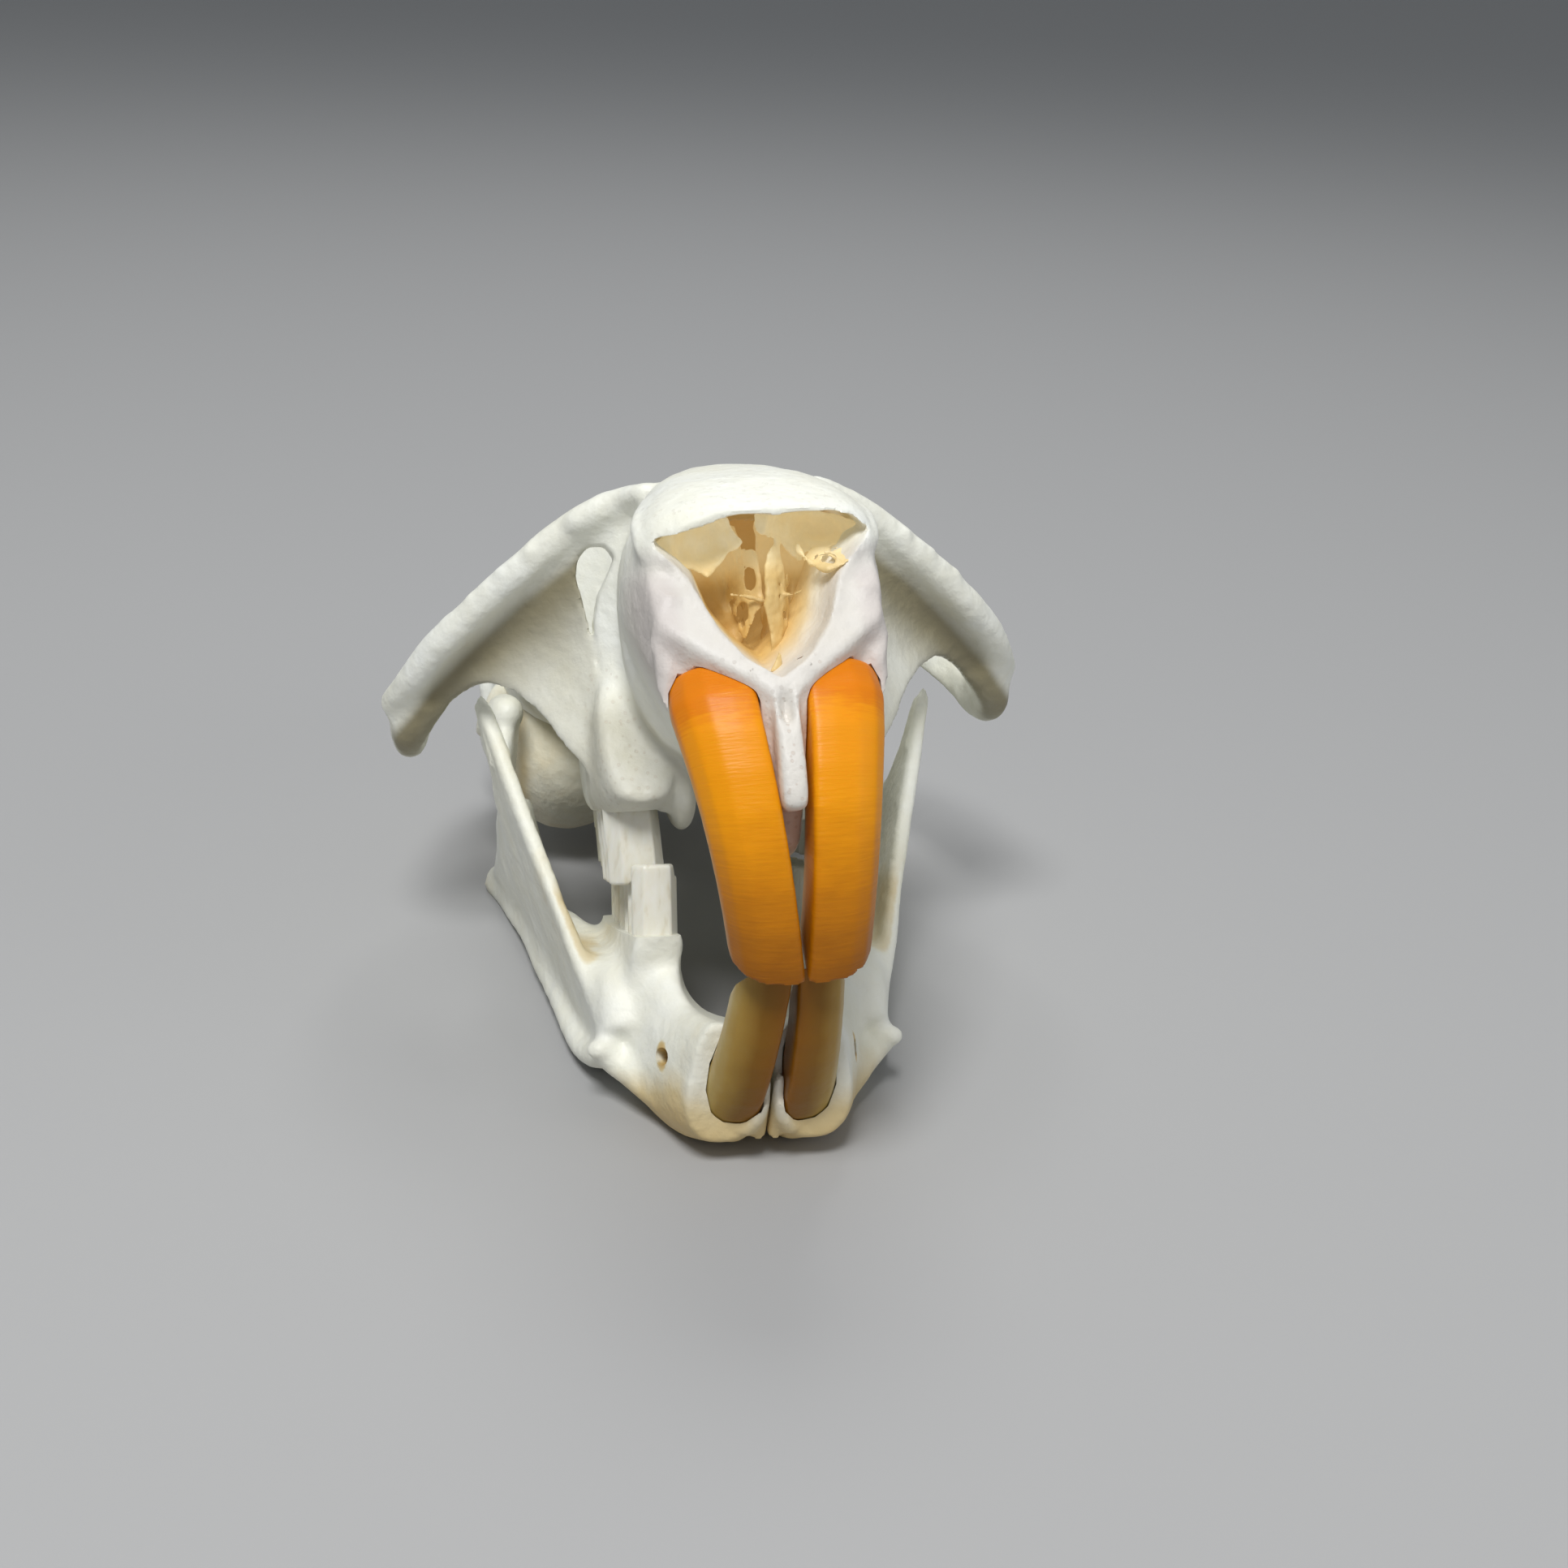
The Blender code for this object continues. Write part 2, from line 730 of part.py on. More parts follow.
def mandible_pieces():
    body = tube([
        (1.8, 5.5, -9.6, 1.7, 3.0),
        (2.0, 8.6, -10.6, 2.0, 3.3),
        (2.7, 12.5, -11.2, 2.5, 3.8),
        (3.7, 16.5, -10.9, 2.7, 4.1),
        (5.6, 21.0, -8.4, 2.3, 4.4),
        (7.1, 26.0, -6.8, 2.5, 3.9),
        (8.6, 32.0, -5.2, 2.4, 3.2),
        (10.0, 38.0, -2.8, 1.6, 2.8),
        (11.6, 43.0, 3.0, 1.2, 2.2),
    ], 2.4)
    row = tube([
        (5.3, 18.0, -6.8, 1.7, 4.4),
        (5.6, 22.0, -4.8, 1.9, 3.0),
        (6.3, 28.0, -4.6, 1.9, 3.0),
        (7.0, 33.6, -4.4, 1.8, 2.8),
    ], 3.0)
    chin = blob((1.8, 15.4, -12.7), (1.8, 5.0, 2.8))
    edge = tube([
        (8.2, 18.9, -10.9, 0.7, 0.7),
        (6.3, 17.2, -12.1, 1.0, 1.0),
        (4.3, 15.4, -13.3, 1.2, 1.2),
        (2.6, 13.6, -14.0, 1.1, 1.1),
    ])
    upright = plate([
        (18.6, -11.6),
        (19.0, -8.4),
        (21.4, -4.2),
        (24.0, -0.4),
        (26.4, 3.4),
        (28.6, 7.8),
        (30.4, 10.4),
        (31.6, 10.0),
        (32.4, 7.0),
        (34.8, 4.6),
        (38.0, 4.8),
        (41.0, 7.6),
        (43.4, 10.6),
        (45.0, 9.8),
        (44.6, 5.6),
        (43.4, 1.8),
        (45.2, -0.6),
        (48.0, -1.2),
        (48.0, -3.0),
        (44.0, -4.4),
        (36.0, -6.4),
        (28.0, -9.4),
    ], ramus_x, 0.75)
    knuckle = blob((12.0, 43.8, 9.8), (1.3, 2.3, 1.3))
    knob = blob((8.4, 18.6, -10.3), (0.9, 1.1, 0.9))
    crest = tube([
        (7.7, 18.8, -10.6, 1.0, 0.9),
        (8.9, 23.0, -10.9, 1.0, 0.8),
        (9.8, 29.0, -8.7, 0.9, 0.8),
        (10.8, 37.0, -5.5, 0.9, 0.8),
        (11.7, 44.0, -3.4, 0.9, 0.9),
        (12.7, 47.6, -2.0, 0.9, 1.0),
    ])
    return [body, row, chin, edge, upright, knuckle, knob, crest]


def table_cutter():
    """Everything below the plane that the lower jaw rests on."""
    reach = 32.0
    far = (CHIN_Y + reach, CHIN_Z + reach * math.tan(math.radians(REST_TILT)))
    return slope_cutter((CHIN_Y, CHIN_Z), far, -30.0, 60.0)


def mandible():
    rim = slope_cutter((9.4, -7.2), (11.7, -14.4), -30.0, 30.0)
    seams = [
        box((-30, -30, -40), (SEAM / 2, 90, 60)),
        box((2.4, 16.0, LOWER_ALVEOLUS), (9.0, 34.4, 20)),
        lower_incisor(spread=SEAM),
        table_cutter(),
    ]
    return bone("mandible_left", [(mandible_pieces(), [rim])], 1150, seams)


def turbinate():
    """Two thin scrolls of bone that hang in the left half of the nose."""
    hanging = blade(
        [(1.5, 7.2, 18.6), (1.4, 9.0, 19.2), (1.2, 12.0, 19.2)],
        [(1.3, 6.4, 14.2), (1.2, 8.6, 13.8), (1.0, 12.0, 14.6)],
        0.35,
        (0, 0, 0),
    )
    curl = tube([
        (1.2, 8.4, 17.6, 1.5, 0.35),
        (2.0, 8.4, 16.9, 1.5, 0.35),
        (2.6, 8.4, 17.5, 1.5, 0.35),
        (2.2, 8.4, 18.3, 1.5, 0.35),
    ], 2.4, 12, (1, 0, 1))
    return bone("turbinate_left", [([hanging, curl], ())], 220, (), 0.22, 3)


def mirror_of(thing, name):
    """A copy on the skull's other side."""
    shape = bmesh.new()
    shape.from_mesh(thing.data)
    bmesh.ops.transform(shape, matrix=Matrix.Diagonal((-1, 1, 1, 1)), verts=shape.verts)
    bmesh.ops.reverse_faces(shape, faces=shape.faces)
    mesh = bpy.data.meshes.new(name)
    shape.to_mesh(mesh)
    shape.free()
    made = bpy.data.objects.new(name, mesh)
    bpy.context.scene.collection.objects.link(made)
    return made


def molars():
    upper = ((18.7, 6.1, 3.5, 3), (24.95, 4.3, 3.2, 2), (29.4, 4.7, 2.9, 3))
    lower = ((17.7, 7.2, 2.9, 4), (25.05, 4.3, 3.0, 2), (29.5, 4.4, 2.7, 2))
    made = []
    for i, (y, length, width, lobes) in enumerate(upper):
        x = 6.35 - 0.16 * i
        name = f"upper_molar_{i + 1}_left"
        made.append(molar(name, (x, y), length, width, lobes, BITE_GAP / 2, ALVEOLUS - SEAM, 0.05))
    for i, (y, length, width, lobes) in enumerate(lower):
        x = 5.3 + 0.1 * i
        name = f"lower_molar_{i + 1}_left"
        made.append(molar(name, (x, y), length, width, lobes, LOWER_ALVEOLUS + SEAM, -BITE_GAP / 2, 0.0))
    return made


def left_teeth():
    # The chisel faces are flat cuts behind each tip.
    upper_chisel = slope_cutter((2.4, -5.4), (7.0, 0.2), -20.0, 20.0)
    lower_chisel = slope_cutter((4.4, -4.4), (8.4, -6.4), 20.0, 20.0)
    midline = box((-20, -30, -30), (0.16, 60, 60))
    return [
        tooth("upper_incisor_left", upper_incisor(), [upper_chisel, midline]),
        tooth("lower_incisor_left", lower_incisor(), [lower_chisel, midline]),
        *molars(),
    ]


def stand(rest, bones):
    """Moves the skull so that the middle of its underside box is at the origin."""
    bpy.context.view_layer.update()
    points = [bone.matrix_world @ vert.co for bone in bones for vert in bone.data.vertices]
    lows = [min(point[i] for point in points) for i in range(3)]
    highs = [max(point[i] for point in points) for i in range(3)]
    rest.location = (-(lows[0] + highs[0]) / 2, -(lows[1] + highs[1]) / 2, -lows[2])


def main():
    clear_scene()
    bone_white = material("bone", (0.78, 0.74, 0.65), 0.55)
    orange = material("enamel_orange", (0.75, 0.28, 0.03), 0.3)
    amber = material("enamel_amber", (0.42, 0.24, 0.10), 0.35)
    ivory = material("tooth_ivory", (0.70, 0.62, 0.48), 0.4)
    middle = [face(), braincase()]
    left = [bulla(), zygomatic_plate(), zygomatic_arch(), mandible(), turbinate(), *left_teeth()]
    right = [mirror_of(thing, thing.name.replace("left", "right")) for thing in left]
    rest = bpy.data.objects.new("skull_rest", None)
    cranium = bpy.data.objects.new("cranium_rest", None)
    for empty in (rest, cranium):
        bpy.context.scene.collection.objects.link(empty)
    cranium.parent = rest
    turn = Matrix.Rotation(-math.radians(SKULL_YAW), 4, "Z")
    lean = Matrix.Rotation(-math.radians(SKULL_ROLL), 4, "Y") @ turn
    pivot = Matrix.Translation(Vector((0, ROLL_Y, ROLL_Z)) * MM)
    cranium.matrix_local = pivot @ lean @ pivot.inverted()
    rest.rotation_euler = (-math.radians(REST_TILT), 0, 0)
    bones = [*middle, *left, *right]
    for thing in bones:
        thing.parent = rest if thing.name.startswith(("mandible", "lower")) else cranium
        if thing.name.startswith("upper_incisor"):
            look = orange
        elif thing.name.startswith("lower_incisor"):
            look = amber
        elif "molar" in thing.name:
            look = ivory
        else:
            look = bone_white
        thing.data.materials.clear()
        thing.data.materials.append(look)
        thing.data.shade_smooth()
        thing.data.set_sharp_from_angle(angle=math.radians(50))
    stand(rest, bones)


main()
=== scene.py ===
import math
from collections import namedtuple

import bmesh
import bpy
import numpy as np
from mathutils import Matrix, Vector


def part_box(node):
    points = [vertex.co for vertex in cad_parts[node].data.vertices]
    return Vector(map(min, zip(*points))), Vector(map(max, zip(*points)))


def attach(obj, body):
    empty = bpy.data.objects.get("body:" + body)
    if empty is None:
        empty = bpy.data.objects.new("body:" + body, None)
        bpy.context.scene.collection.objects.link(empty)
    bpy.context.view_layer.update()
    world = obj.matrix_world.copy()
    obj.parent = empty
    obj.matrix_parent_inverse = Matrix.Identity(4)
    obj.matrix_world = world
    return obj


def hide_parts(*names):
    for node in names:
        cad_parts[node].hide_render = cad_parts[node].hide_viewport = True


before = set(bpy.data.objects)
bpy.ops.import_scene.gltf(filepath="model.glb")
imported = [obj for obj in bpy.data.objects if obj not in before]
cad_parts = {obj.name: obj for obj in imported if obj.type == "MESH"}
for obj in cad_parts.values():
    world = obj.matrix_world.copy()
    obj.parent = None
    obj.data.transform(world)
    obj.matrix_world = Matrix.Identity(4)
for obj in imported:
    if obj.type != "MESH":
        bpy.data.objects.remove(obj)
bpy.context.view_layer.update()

# The muskrat skull's looks. Shapes are drawn in the skull's own frame, in millimetres, as the solids are:
# +X is the skull's left, +Y runs back from the front of the upper incisors, and +Z runs up from the
# plane where the cheek teeth meet. They are then tipped into the pose in which the skull lies.
MM = 0.001

# Driving dimensions, in millimetres and degrees. The skull is tipped nose up by REST_TILT and cut flat
# under the chin at CHIN_Y and CHIN_Z; the cranium is set on the jaw with SKULL_ROLL and SKULL_YAW about
# a line through ROLL_Y and ROLL_Z.
REST_TILT = 21.4
CHIN_Y = 15.6
CHIN_Z = -15.2
SKULL_ROLL = 2.4
SKULL_YAW = 1.3
ROLL_Y = 20.0
ROLL_Z = 6.0
# Half widths of the snout, of the waist between the eyes and of the braincase.
ROSTRUM_HALF = 7.0
INTERORBITAL_HALF = 3.3
BRAINCASE_HALF = 12.4
# Where the bones are cut apart: the face's back, and the cheek pieces' ends as distances from the middle.
FACE_END = 34.6
PLATE_START = 9.0
JUGAL_START = 17.2
SQUAMOSAL_END = 13.0
# The gap between neighbouring solids.
SEAM = 0.3
# Where the cheek plate ends and the arch starts, and the front, back and foot of the block that cuts the
# arch's back end off the braincase.
ARCH_FRONT = 33.0
ROOT_FRONT = 36.0
ROOT_BACK = 46.5
ROOT_FLOOR = 12.4
# The heights of the bone round the cheek teeth, and the gap left between upper and lower teeth.
ALVEOLUS = 4.0
LOWER_ALVEOLUS = -3.6
BITE_GAP = 0.3
# Each cheek tooth has its place in y, its length, its width and its number of lobes.
UPPER_MOLARS = ((18.7, 6.1, 3.5, 3), (24.95, 4.3, 3.2, 2), (29.4, 4.7, 2.9, 3))
LOWER_MOLARS = ((17.7, 7.2, 2.9, 4), (25.05, 4.3, 3.0, 2), (29.5, 4.4, 2.7, 2))
UPPER_ROW_X = 6.35
LOWER_ROW_X = 5.3
# The nose opening's rim leans back by RIM_SLOPE from its foot, the notch.
RIM_FOOT_Y = 1.3
RIM_FOOT_Z = 11.0
RIM_SLOPE = 0.726
# The opening for the nerve on the outside of the jaw.
FORAMEN = (5.4, 14.4, -10.2)
# The grains to which the pieces are fused: the cranium at first, bones, ear capsules, bones at the end,
# teeth, and the thin bones in the nose at first and at the end.
ROUGH_GRAIN = 0.26
BONE_GRAIN = 0.24
CAPSULE_GRAIN = 0.25
FINE_GRAIN = 0.2
TOOTH_GRAIN = 0.12
LEAF_GRAIN = 0.1
FINE_LEAF_GRAIN = 0.09
LEAF_HALF = 0.15
# The room left round a tooth or an ear capsule in its bone.
SNUG = 0.05
# Edges that turn by more than this stay sharp, in degrees.
SHARP_ANGLE = 42
# How many points the rings of a shape have, and the powers that make them square: 2 gives an ellipse.
TRUNK_POINTS = 28
BLADE_POINTS = 20
BLADE_POWER = 2.6
BLOB_POINTS = 20
BLOB_ROWS = 12
ELLIPSE = 2
# Places to both sides of the skull, ahead of it, behind, below and above, all clear of it.
LEFT_REACH = 60
FRONT_REACH = -30
BACK_REACH = 90
DOWN_REACH = -30
UP_REACH = 60

# An incisor's front face lies on a circle in the YZ plane. Angles run from its tip to the rim of its socket,
# where it is broader by growth; past the rim its root lies deeper in the bone by ROOT_SINK for each degree.
# The photograph shows the tips pushed to the skull's left by push.
Incisor = namedtuple("Incisor", "centre radius upwards thickness width tip rim growth push")
UPPER = Incisor((16.4, 3.6), 16.3, 1.0, 4.3, 3.8, tip=-32.0, rim=24.0, growth=0.18, push=0.5)
LOWER = Incisor((21.8, 1.5), 18.5, -1.0, 3.3, 2.9, tip=19.0, rim=56.0, growth=0.12, push=0.4)
ROOT_SINK = 0.06


def glide(stations, steps=4):
    """A smooth curve through the stations, as tuples of the same length."""
    rows = [Vector(station) for station in stations]
    rows = [2 * rows[0] - rows[1]] + rows + [2 * rows[-1] - rows[-2]]
    made = []
    for i in range(1, len(rows) - 2):
        before, start, end, after = rows[i - 1 : i + 3]
        for part in range(steps):
            t = part / steps
            bend = 2 * before - 5 * start + 4 * end - after
            twist = 3 * start - before - 3 * end + after
            made.append(0.5 * (2 * start + (end - before) * t + bend * t**2 + twist * t**3))
    return made + [rows[-2]]


def ring(centre, side, up, down, power, count):
    """A superellipse about centre with the half axes side, up and down, or up both ways without down."""
    down = up if down is None else down
    points = []
    for i in range(count):
        angle = math.tau * i / count
        across = math.copysign(abs(math.cos(angle)) ** (2 / power), math.cos(angle))
        along = math.copysign(abs(math.sin(angle)) ** (2 / power), math.sin(angle))
        points.append(centre + side * across + (up if along > 0 else down) * along)
    return points


def skin(rings):
    """A closed shape through the rings, as its points and faces."""
    count = len(rings[0])
    points = [point for one in rings for point in one]
    faces = []
    for r in range(len(rings) - 1):
        for i in range(count):
            j = (i + 1) % count
            a = r * count
            b = a + count
            faces.append((a + i, a + j, b + j, b + i))
    first = len(points)
    points.append(sum(rings[0], Vector((0, 0, 0))) / count)
    points.append(sum(rings[-1], Vector((0, 0, 0))) / count)
    last = (len(rings) - 1) * count
    for i in range(count):
        j = (i + 1) % count
        faces.append((first, j, i))
        faces.append((first + 1, last + i, last + j))
    return points, faces


def trunk(stations, power=2.4):
    """A shape across the midline, from stations of y, half width, and its lowest, widest and highest z."""
    rings = []
    for y, half, low, wide, high in glide(stations):
        up = Vector((0, 0, high - wide))
        down = Vector((0, 0, wide - low))
        rings.append(ring(Vector((0, y, wide)), Vector((half, 0, 0)), up, down, power, TRUNK_POINTS))
    return skin(rings)


def tube(stations, power=2.2, count=16, upright=(0, 0, 1)):
    """A tube through stations of x, y, z, half thickness sideways and half thickness upwards."""
    upright = Vector(upright)
    rows = glide(stations)
    rings = []
    for i, row in enumerate(rows):
        ahead = rows[min(i + 1, len(rows) - 1)]
        behind = rows[max(i - 1, 0)]
        travel = (Vector(ahead[:3]) - Vector(behind[:3])).normalized()
        side = travel.cross(upright).normalized()
        up = side.cross(travel).normalized()
        rings.append(ring(Vector(row[:3]), side * row[3], up * row[4], None, power, count))
    return skin(rings)


def blade(top, bottom, half_thickness, bows):
    """A thin sheet between two rails of x, y, z, whose middle sinks away from its outer side by bows."""
    highs = glide(top)
    lows = glide(bottom)
    sinks = glide([(bow, 0, 0) for bow in bows])
    middles = [(high + low) / 2 for high, low in zip(highs, lows)]
    rings = []
    for i, middle in enumerate(middles):
        travel = middles[min(i + 1, len(middles) - 1)] - middles[max(i - 1, 0)]
        up = (highs[i] - lows[i]) / 2
        side = travel.cross(up).normalized()
        section = []
        for point in ring(Vector((0, 0, 0)), side * half_thickness, up, None, BLADE_POWER, BLADE_POINTS):
            share = point.dot(up) / up.length_squared
            section.append(middle + point - side * sinks[i].x * (1 - share**2))
        rings.append(section)
    return skin(rings)


def blob(centre, radii):
    """An ellipsoid with its axes along X, Y and Z."""
    rings = []
    for i in range(1, BLOB_ROWS):
        angle = math.pi * i / BLOB_ROWS
        middle = Vector(centre) - Vector((0, radii[1] * math.cos(angle), 0))
        size = math.sin(angle)
        side = Vector((radii[0] * size, 0, 0))
        up = Vector((0, 0, radii[2] * size))
        rings.append(ring(middle, side, up, None, ELLIPSE, BLOB_POINTS))
    return skin(rings)


def plate(outline, place_x, half_thickness):
    """A sheet with a closed outline of y, z points, whose middle surface is at x = place_x(y, z)."""
    shape = bmesh.new()
    loop = [shape.verts.new((-half_thickness, y, z)) for y, z in glide([*outline, outline[0]], 3)[:-1]]
    shape.faces.new(loop)
    bmesh.ops.triangulate(shape, faces=shape.faces[:], ngon_method="EAR_CLIP")
    bmesh.ops.subdivide_edges(shape, edges=shape.edges[:], cuts=4, use_grid_fill=True)
    raised = bmesh.ops.extrude_face_region(shape, geom=shape.faces[:])["geom"]
    for vert in raised:
        if isinstance(vert, bmesh.types.BMVert):
            vert.co.x = half_thickness
    for vert in shape.verts:
        vert.co.x += place_x(vert.co.y, vert.co.z)
    shape.verts.index_update()
    points = [vert.co.copy() for vert in shape.verts]
    faces = [tuple(vert.index for vert in face.verts) for face in shape.faces]
    shape.free()
    return points, faces


def box(low, high):
    """A block between two corners."""
    centre = (Vector(low) + Vector(high)) / 2
    half = (Vector(high) - Vector(low)) / 2
    corners = ((-1, -1), (1, -1), (1, 1), (-1, 1))
    rings = []
    for end in (-1, 1):
        rings.append([centre + Vector((half.x * a, half.y * end, half.z * b)) for a, b in corners])
    return skin(rings)


def block(x=(-LEFT_REACH, LEFT_REACH), y=(FRONT_REACH, BACK_REACH), z=(DOWN_REACH, UP_REACH)):
    """A block that reaches past the skull along each axis for which no range is given."""
    return box(*zip(x, y, z))


def prism(outline, stations):
    """A shape with an outline of x, z points, through stations of y and of how far x and z are shifted."""
    rings = []
    for y, shift, rise in stations:
        rings.append([Vector((x + shift, y, z + rise)) for x, z in outline])
    return skin(rings)


def mirrored(piece):
    points, faces = piece
    flipped = [Vector((-point[0], point[1], point[2])) for point in points]
    return flipped, [tuple(reversed(face)) for face in faces]


def both(*pieces):
    """The pieces and their mirror images."""
    return [*pieces, *(mirrored(piece) for piece in pieces)]


def placed(name, data):
    """A new object in the scene."""
    made = bpy.data.objects.new(name, data)
    bpy.context.scene.collection.objects.link(made)
    return made


def object_of(name, pieces):
    """One mesh object that holds every piece, its faces pointing out."""
    shape = bmesh.new()
    for points, faces in pieces:
        verts = [shape.verts.new(Vector(point) * MM) for point in points]
        made = [shape.faces.new([verts[i] for i in face]) for face in faces]
        bmesh.ops.recalc_face_normals(shape, faces=made)
    mesh = bpy.data.meshes.new(name)
    shape.to_mesh(mesh)
    shape.free()
    return placed(name, mesh)


def settle(thing):
    """Applies the object's modifiers."""
    graph = bpy.context.evaluated_depsgraph_get()
    mesh = bpy.data.meshes.new_from_object(thing.evaluated_get(graph))
    old = thing.data
    thing.modifiers.clear()
    thing.data = mesh
    bpy.data.meshes.remove(old)


def modified(thing, kind, **settings):
    """Adds a modifier with these settings to the object."""
    modifier = thing.modifiers.new(kind.lower(), kind)
    for name, value in settings.items():
        setattr(modifier, name, value)


def remeshed(thing, grain, rounds):
    """Fuses overlapping pieces into one even skin and rounds it off."""
    modified(thing, "REMESH", mode="VOXEL", voxel_size=grain * MM, adaptivity=0)
    modified(thing, "SMOOTH", factor=0.5, iterations=rounds)
    settle(thing)


def carved(thing, cutters):
    """Takes the cutters away from the object."""
    for piece in cutters:
        cutter = object_of("cutter", [piece])
        modified(thing, "BOOLEAN", operation="DIFFERENCE", solver="MANIFOLD", object=cutter)
        settle(thing)
        bpy.data.objects.remove(cutter, do_unlink=True)


def uneven(thing, size, depth):
    """Raises and sinks the surface by depth, in patches of about size, both in millimetres."""
    texture = bpy.data.textures.new("uneven", "CLOUDS")
    texture.noise_scale = size * MM
    texture.noise_depth = 1
    modified(thing, "DISPLACE", texture=texture, texture_coords="LOCAL", strength=depth * MM, mid_level=0.5)
    settle(thing)


def largest_piece(thing):
    """Keeps the object's largest connected surface: linked points take on their lowest number as a label."""
    mesh = thing.data
    ends = np.empty(len(mesh.edges) * 2, np.int32)
    mesh.edges.foreach_get("vertices", ends)
    ends = ends.reshape(-1, 2)
    label = np.arange(len(mesh.vertices))
    while True:
        roots = label[ends]
        lower = label.copy()
        np.minimum.at(lower, roots, roots.min(axis=1, keepdims=True))
        lower = lower[lower]
        if (lower == label).all():
            break
        label = lower
    names, sizes = np.unique(label, return_counts=True)
    if len(names) == 1:
        return
    spare = np.flatnonzero(label != names[sizes.argmax()])
    shape = bmesh.new()
    shape.from_mesh(mesh)
    shape.verts.ensure_lookup_table()
    bmesh.ops.delete(shape, geom=[shape.verts[i] for i in spare], context="VERTS")
    shape.to_mesh(mesh)
    shape.free()


def joined(thing, pieces):
    """Adds more pieces to the object's mesh."""
    extra = object_of("extra", pieces)
    shape = bmesh.new()
    shape.from_mesh(thing.data)
    shape.from_mesh(extra.data)
    shape.to_mesh(thing.data)
    shape.free()
    bpy.data.objects.remove(extra, do_unlink=True)


def part_of(whole, name, cutters):
    """The largest piece of a copy of the whole from which the cutters are taken away."""
    made = placed(name, whole.data.copy())
    carved(made, cutters)
    largest_piece(made)
    return made


def step(low, high, values):
    """A smooth rise from 0 at low to 1 at high."""
    t = np.clip((values - low) / (high - low), 0, 1)
    return t * t * (3 - 2 * t)


def measured(mesh, name="co"):
    """Where each of a mesh's points lies, or another of their vectors, as rows of three."""
    values = np.empty(len(mesh.vertices) * 3)
    mesh.vertices.foreach_get(name, values)
    return values.reshape(-1, 3)


def painted(thing, name, rule):
    """Stores rule(x, y, z, normals) on each point, in the skull's own frame and millimetres."""
    mesh = thing.data
    values = np.zeros(len(mesh.vertices), np.float32)
    values[:] = rule(*(measured(mesh).T / MM), measured(mesh, "normal").T)
    mesh.attributes.new(name, "FLOAT", "POINT").data.foreach_set("value", values)


def moved(thing, axis, rule):
    """Moves each point along an axis, 0 for X to 2 for Z, by rule(x, y, z), in millimetres."""
    points = measured(thing.data)
    points[:, axis] += rule(*(points.T / MM)) * MM
    thing.data.vertices.foreach_set("co", points.ravel())
    thing.data.update()


def finished(thing, pose, look, nodes):
    """Puts a piece into the pose, gives it its material and hides the solids it stands for."""
    thing.data.transform(pose)
    thing.data.shade_smooth()
    thing.data.set_sharp_from_angle(angle=math.radians(SHARP_ANGLE))
    thing.data.materials.clear()
    thing.data.materials.append(look)
    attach(thing, "root")
    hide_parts(*nodes)


# An incisor's cross section, outwards and forwards, in halves of its width and of its thickness.
INCISOR_SECTION = (
    (-1, -0.5), (-1, 0.9), (-0.93, 1), (-0.4, 1), (0.2, 0.92), (0.66, 0.66), (0.95, 0.2), (0.96, -0.3),
    (0.66, -0.8), (0, -1), (-0.66, -0.92),
)


def incisor(kind, place_x, start, end, spread):
    """A left incisor between two angles of its arc, grown by spread; place_x tells how far out it lies."""
    rings = []
    steps = 9
    half_width = kind.width / 2 + spread
    half_thickness = kind.thickness / 2
    for i in range(steps + 1):
        angle = start + (end - start) * i / steps
        turn = math.radians(angle)
        forward = Vector((0, -math.cos(turn), kind.upwards * math.sin(turn)))
        sunk = ROOT_SINK * max(0, angle - kind.rim)
        share = (angle - kind.tip) / (kind.rim - kind.tip)
        broad = half_width * (1 + kind.growth * min(1.1, share**2))
        middle = Vector((place_x(share), *kind.centre)) + forward * (kind.radius - half_thickness - sunk)
        rings.append([
            middle + Vector((out * broad, 0, 0)) + forward * (ahead * (half_thickness + spread))
            for out, ahead in INCISOR_SECTION
        ])
    return skin(rings)


def upper_x(share):
    """How far out the upper incisor's middle lies: the tips meet, and it is furthest out at the rim."""
    return 1.94 + 1.2 * min(share, 1) + 0.45 * min(share, 1) ** 2 - 0.8 * max(0, share - 1)


def upper_incisor(start=UPPER.tip - 4, end=UPPER.rim + 9, spread=0):
    return incisor(UPPER, upper_x, start, end, spread)


def lower_incisor(start=LOWER.tip - 6, end=LOWER.rim + 4, spread=0):
    return incisor(LOWER, lambda share: 1.56 + 0.75 * share, start, end, spread)


def arc_place(x, y, z, kind):
    """The angle along an incisor's arc, and how far forward in its thickness a point lies."""
    ahead = kind.centre[0] - y
    rise = kind.upwards * (z - kind.centre[1])
    angle = np.degrees(np.arctan2(rise, ahead))
    front = (np.hypot(ahead, rise) - kind.radius + kind.thickness / 2) / (kind.thickness / 2)
    return angle, front


def along_arc(x, y, z, kind):
    """How far along an incisor a point lies: 0 at the tip, 1 at the rim of its socket."""
    angle, _ = arc_place(x, y, z, kind)
    return (angle - kind.tip) / (kind.rim - kind.tip)


def swing(x, y, z, kind):
    """How far an incisor is pushed to the skull's left there: fully at its tip, not at all at its rim."""
    return kind.push * np.clip(1 - along_arc(x, y, z, kind), 0, 1.2)


def swung_piece(piece, kind):
    points, faces = piece
    return [point + Vector((float(swing(*point, kind)), 0, 0)) for point in points], faces


